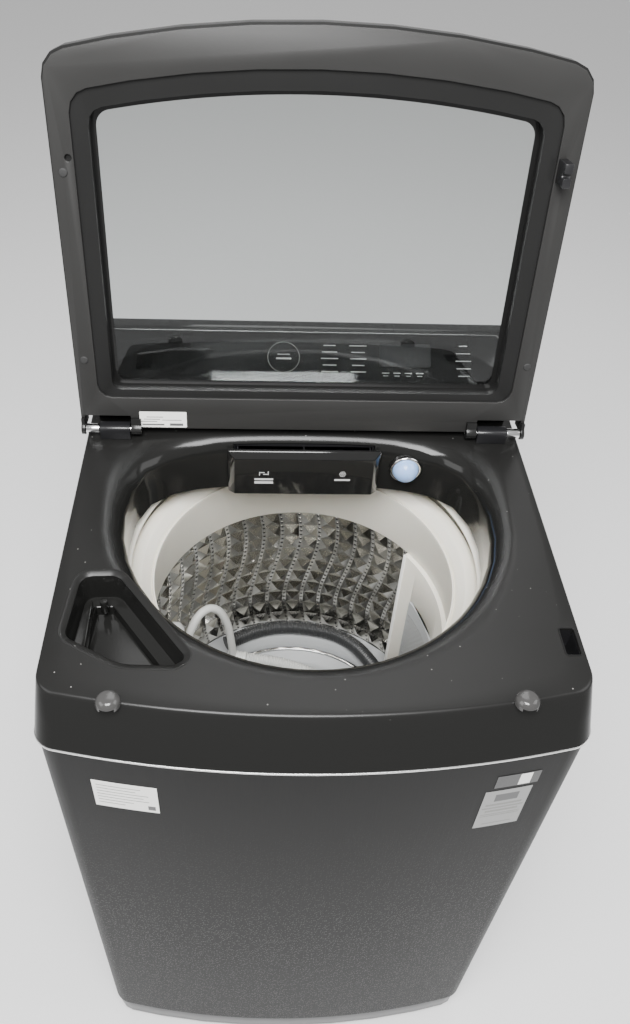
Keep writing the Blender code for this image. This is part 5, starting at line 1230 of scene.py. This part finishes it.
def rings_and_base():
    """Cream cover ring and balance ring, and the wash plate with its vanes and bright ring."""
    rim, top, outer = TOP_Z - 0.118, TOP_Z - 0.098, 0.2646
    cover_ring = bent([
        (outer - 0.004, top - 0.003), (outer + 0.003, top - 0.008), (outer + 0.003, rim - 0.008),
        (outer + 0.0003, rim - 0.008), (outer + 0.0003, rim + 0.0003), (0.2365, rim + 0.0105),
        (0.2335, top - 0.006), (0.2325, top - 0.003), (0.2345, top - 0.001), (0.2405, top),
        (outer - 0.004, top - 0.003)], 0.0012, 3)
    cover_piece = turned("tub_ring", cover_ring, ROUND_STEPS, DRUM_AXIS)
    finished(cover_piece, CREAM, "tub", "cream_plastic", "tub_cover")
    crest, groove, low, high = TOP_Z - 0.115, TOP_Z - 0.131, TOP_Z - 0.221, TOP_Z - 0.129
    fit = BASKET_RADIUS - 0.0003
    balance = bent([
        (0.2300, crest), (0.2400, crest - 0.004), (0.2400, high + 0.0015), (fit, high - 0.002),
        (fit, low + 0.004), (0.2156, low), (0.2116, low), (0.2046, groove - 0.004),
        (0.2046, groove + 0.003), (0.2066, groove + 0.003), (0.2081, groove - 0.001),
        (0.2106, groove + 0.005), (0.2200, crest - 0.001), (0.2300, crest)], 0.0015, 3)
    balance_piece = turned("water_ring", balance, ROUND_STEPS, DRUM_AXIS)
    finished(balance_piece, CREAM, "basket", "cream_plastic", "balance_ring")

    radius, plate_z, vane_top, seat = 0.192, 0.4050, 0.4230, 0.3840
    dish = bent([
        (0.0, vane_top), (0.018, vane_top - 0.001), (0.036, vane_top - 0.008), (0.060, plate_z - 0.010),
        (radius - 0.030, plate_z - 0.013), (radius - 0.010, plate_z - 0.003),
        (radius - 0.008, plate_z - 0.003), (radius - 0.0005, plate_z - 0.003),
        (radius - 0.0005, plate_z - 0.008), (radius - 0.030, seat + 0.003),
        (0.060, seat + 0.002), (0.048, seat), (0.0, seat)], 0.004, 4)
    plate_piece = turned("wash_plate", dish, 128, DRUM_AXIS)
    finished(plate_piece, GREY, "pulsator", "grey_plastic", "pulsator")
    bright = bent([
        (radius - 0.009, plate_z - 0.0032), (radius - 0.008, plate_z - 0.0002),
        (radius - 0.004, plate_z), (radius - 0.0004, plate_z - 0.0010),
        (radius - 0.0004, plate_z - 0.0032), (radius - 0.009, plate_z - 0.0032)], 0.0008, 3)
    finished(turned("wash_plate_ring", bright, 128, DRUM_AXIS), CHROME, "pulsator", "hinge_chrome")
    levels = ((1.0, seat + 0.012), (0.8, seat + 0.022), (0.5, vane_top - 0.008),
              (0.25, vane_top - 0.0035))
    for k in range(VANES):
        rings = []
        for share, z in levels:
            inner, outer_end, half = 0.030, 0.130 + 0.034 * share, 0.004 + 0.012 * share
            shape = [(inner, -half * 0.7), (outer_end - 0.02, -half), (outer_end, 0),
                     (outer_end - 0.02, half), (inner, half * 0.7)]
            rings.append(at_height(shape, z))
        vane = lofted(f"wash_vane_{k}", rings, capped=True)
        soften(vane, 0.0015, 2)
        vane.data.transform(Matrix.Translation(DRUM_AXIS) @ Matrix.Rotation(2 * pi * k / VANES, 4, "Z"))
        finished(vane, GREY, "pulsator", "grey_plastic")


def polar(reach, degrees):
    """Place in plan at a distance from the drum's axis."""
    return (reach * cos(radians(degrees)), DRUM_Y + reach * sin(radians(degrees)))


def arc_plate(name, inner, outer, start, end, low, high, steps=36):
    """Part of a ring round the drum's axis, between two angles in degrees."""
    turns = [start + (end - start) * k / steps for k in range(steps + 1)]
    outline = [polar(outer, a) for a in turns] + [polar(inner, a) for a in reversed(turns)]
    return plate(name, outline, low, high)


def filter_column():
    """Cream column against the drum wall, a painted highlight strip on its edge, and the slotted lint filter
    with painted shade in its slots.
    """
    low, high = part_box("filter_column")[0].z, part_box("filter_column")[1].z
    first, last, face = 3.0, 27.0, 0.2050
    top, bottom = TOP_Z - 0.300, TOP_Z - 0.470
    column = arc_plate("column_panel", face, BASKET_RADIUS - 0.0062, -18.0, 36.0, low, high)
    cut(column, arc_plate("pocket", face - 0.01, face + 0.027, first, last, bottom, top, 12))
    finished(soften(column, 0.0010, 2), CREAM, "basket", "cream_plastic", "filter_column")
    # white strip on the column's edge: painted highlight, the edge is the same cream plastic
    bead = arc_plate("column_edge_highlight", face - 0.0016, face + 0.003, 34.6, 36.0, low, high, 4)
    finished(soften(bead, 0.0008, 2), LABEL_AND_EDGE_HIGHLIGHT, "basket", "cream_plastic")
    seal = arc_plate("column_seal", face + 0.004, BASKET_RADIUS - 0.0055, 36.05, 36.5, low, high, 3)
    finished(seal, RUBBER, "basket", "rubber")

    cage = arc_plate("filter_cage", face - 0.0028, face + 0.025, first + 0.2, last - 0.2,
                     bottom + 0.0006, top - 0.0006, 24)
    cut(cage, arc_plate("bowl", face + 0.002, face + 0.023, first + 1.2, last - 1.2,
                        bottom + 0.003, top + 0.01, 12))
    finished(soften(cage, 0.0010, 2), GREY, "basket", "grey_plastic", "lint_filter")
    # dark marks on the lint filter: painted shade standing in for its open slots
    slot = ring_shape([(0.0022, -0.0004), (0.0022, 0.0006), (0.0014, 0.0010)], 8, True)
    stretch = Matrix.Diagonal((0.42, 1.6, 1.0, 1.0)) @ Matrix.Rotation(radians(20), 4, "Z")
    places = []
    for row in range(20):
        for k in range(9):
            turn = radians(first + 2.6 + 2.25 * k + (1.1 if row % 2 else 0.0))
            z = bottom + 0.012 + 0.0068 * row
            places.append(wall_frame(turn, z, face - 0.0026) @ stretch)
    finished(stamped("filter_slot_painted_shade", *slot, places), DIM_PRINT_AND_SLOT_SHADE, "basket", "grey_plastic")


def hangers():
    """Springs and sump bellows copied from the imported solids, riding on the tub; how much length they keep
    at full travel is worked out but not applied.
    """
    bounce = next(j for j in frame["joints"] if j["name"] == "tub_bounce")
    travel = max(abs(v) for v in bounce["range_m"])
    corners = ("front_left", "front_right", "rear_left", "rear_right")
    for node in [f"suspension_spring_{corner}" for corner in corners] + ["sump_bellows"]:
        low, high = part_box(node)
        piece = refined(node, f"{node}_coil", 0.0, merge=False)
        mat, slot = (RUBBER, "rubber") if node == "sump_bellows" else (ZINC, "galvanised_steel")
        finished(piece, mat, "tub", slot, node)
        keep = 1 - (travel + 0.0005) / (high.z - low.z)
        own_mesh(piece)


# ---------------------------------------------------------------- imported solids
def rounded_solids():
    """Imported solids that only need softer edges: node, piece, width of the edge, its steps, finish."""
    for node, name, width, segments, mat, body, slot in (
        ("base_frame", "skirt", 0.0020, 2, BLACK_AND_HOLE_SHADE, "cabinet", "base_plastic"),
        ("rear_panel", "rear_sheet", 0.0, 2, ZINC, "cabinet", "rear_sheet"),
        ("inlet_valve", "valve_body", 0.0008, 2, PALE, "cabinet", "pale_plastic"),
        ("drain_outlet", "drain_spigot", 0.0006, 2, BLACK_AND_HOLE_SHADE, "cabinet", "black_plastic"),
        ("cord_gland", "lead_gland", 0.0006, 2, RUBBER, "cabinet", "rubber"),
        ("console_housing", "console_shell", 0.0022, 3, PIANO, "cabinet", "gloss_black"),
        ("console_panel", "console_face", 0.0007, 2, PIANO, "cabinet", "gloss_black"),
        ("dispenser_housing", "drawer_box", 0.0, 2, BLACK_AND_HOLE_SHADE, "cabinet", "black_plastic"),
        ("drawer_tray", "drawer_cups", 0.0006, 2, BLACK_AND_HOLE_SHADE, "drawer", "black_plastic"),
        ("drawer_front", "drawer_fascia", 0.0014, 3, PIANO, "drawer", "gloss_black"),
        ("lid_frame", "lid_shell", 0.0028, 3, LID_SHELL, "lid", "cover_plastic"),
        ("lid_inner_frame", "lid_lining", 0.0014, 2, LID_SATIN, "lid", "inner_frame"),
        ("hinge_bracket_left", "hinge_block_left", 0.0009, 2, BLACK_AND_HOLE_SHADE, "cabinet", "black_plastic"),
        ("hinge_bracket_right", "hinge_block_right", 0.0009, 2, BLACK_AND_HOLE_SHADE, "cabinet", "black_plastic"),
        ("basket_base", "drum_floor", 0.0, 2, GREY, "basket", "grey_plastic"),
    ):
        finished(refined(node, name, width, segments), mat, body, slot, node)


def carried_over():
    """Finishes of the solids that are shown as they were packed."""
    looks = {
        "control_board": BOARD, "stator": WINDING, "hinge_bracket_left": BLACK_AND_HOLE_SHADE, "hinge_bracket_right": BLACK_AND_HOLE_SHADE,
        "outer_tub": CREAM, "gearcase": GREY, "drain_pump": GREY, "clutch_coupler": BLACK_AND_HOLE_SHADE,
        "pump_impeller": BLACK_AND_HOLE_SHADE, "lid_lock_housing": BLACK_AND_HOLE_SHADE, "sump_bellows": RUBBER, "hose_hook": PALE,
    }
    for name, node in frame["nodes"].items():
        node.data.materials.clear()
        node.data.materials.append(looks.get(name, ZINC))


# ---------------------------------------------------------------- studio
def studio():
    """Pale floor, even world light and four soft lamps."""
    floor_mat = Finish("studio_floor", (0.96, 0.96, 0.96), 0.6)
    floor_mat.bump(floor_mat.noise(60.0), 0.0001)
    bpy.ops.mesh.primitive_plane_add(size=14.0)
    floor = named("studio_floor")
    floor.data.materials.append(floor_mat.mat)
    world = bpy.data.worlds.new("studio")
    world.use_nodes = True
    back = world.node_tree.nodes["Background"]
    back.inputs["Color"].default_value = (1.0, 1.0, 1.0, 1.0)
    back.inputs["Strength"].default_value = 0.55
    bpy.context.scene.world = world
    for name, place, aim, size, power in (
        ("key", (-0.15, -1.05, 2.65), (0, 0.05, 0.75), 1.0, 105.0),
        ("fill", (-1.9, -0.9, 2.3), (0, 0, 0.8), 1.4, 24.0),
        ("side", (1.9, -0.3, 2.3), (0, 0, 0.8), 1.4, 20.0),
        ("back", (0.2, 1.5, 2.9), (0, 0, 0.9), 1.6, 24.0),
    ):
        light = bpy.data.lights.new(name, "AREA")
        light.size = size
        light.energy = power
        obj = bpy.data.objects.new(name, light)
        obj.location = place
        obj.rotation_euler = (Vector(aim) - Vector(place)).to_track_quat("-Z", "Y").to_euler()
        bpy.context.scene.collection.objects.link(obj)


stowed_hoses()
cover()
deck_fittings()
cabinet()
front_labels()
back_of_machine()
console()
dispenser()
lid()
drum()
drum_holes()
rings_and_base()
filter_column()
hangers()
rounded_solids()
carried_over()
studio()
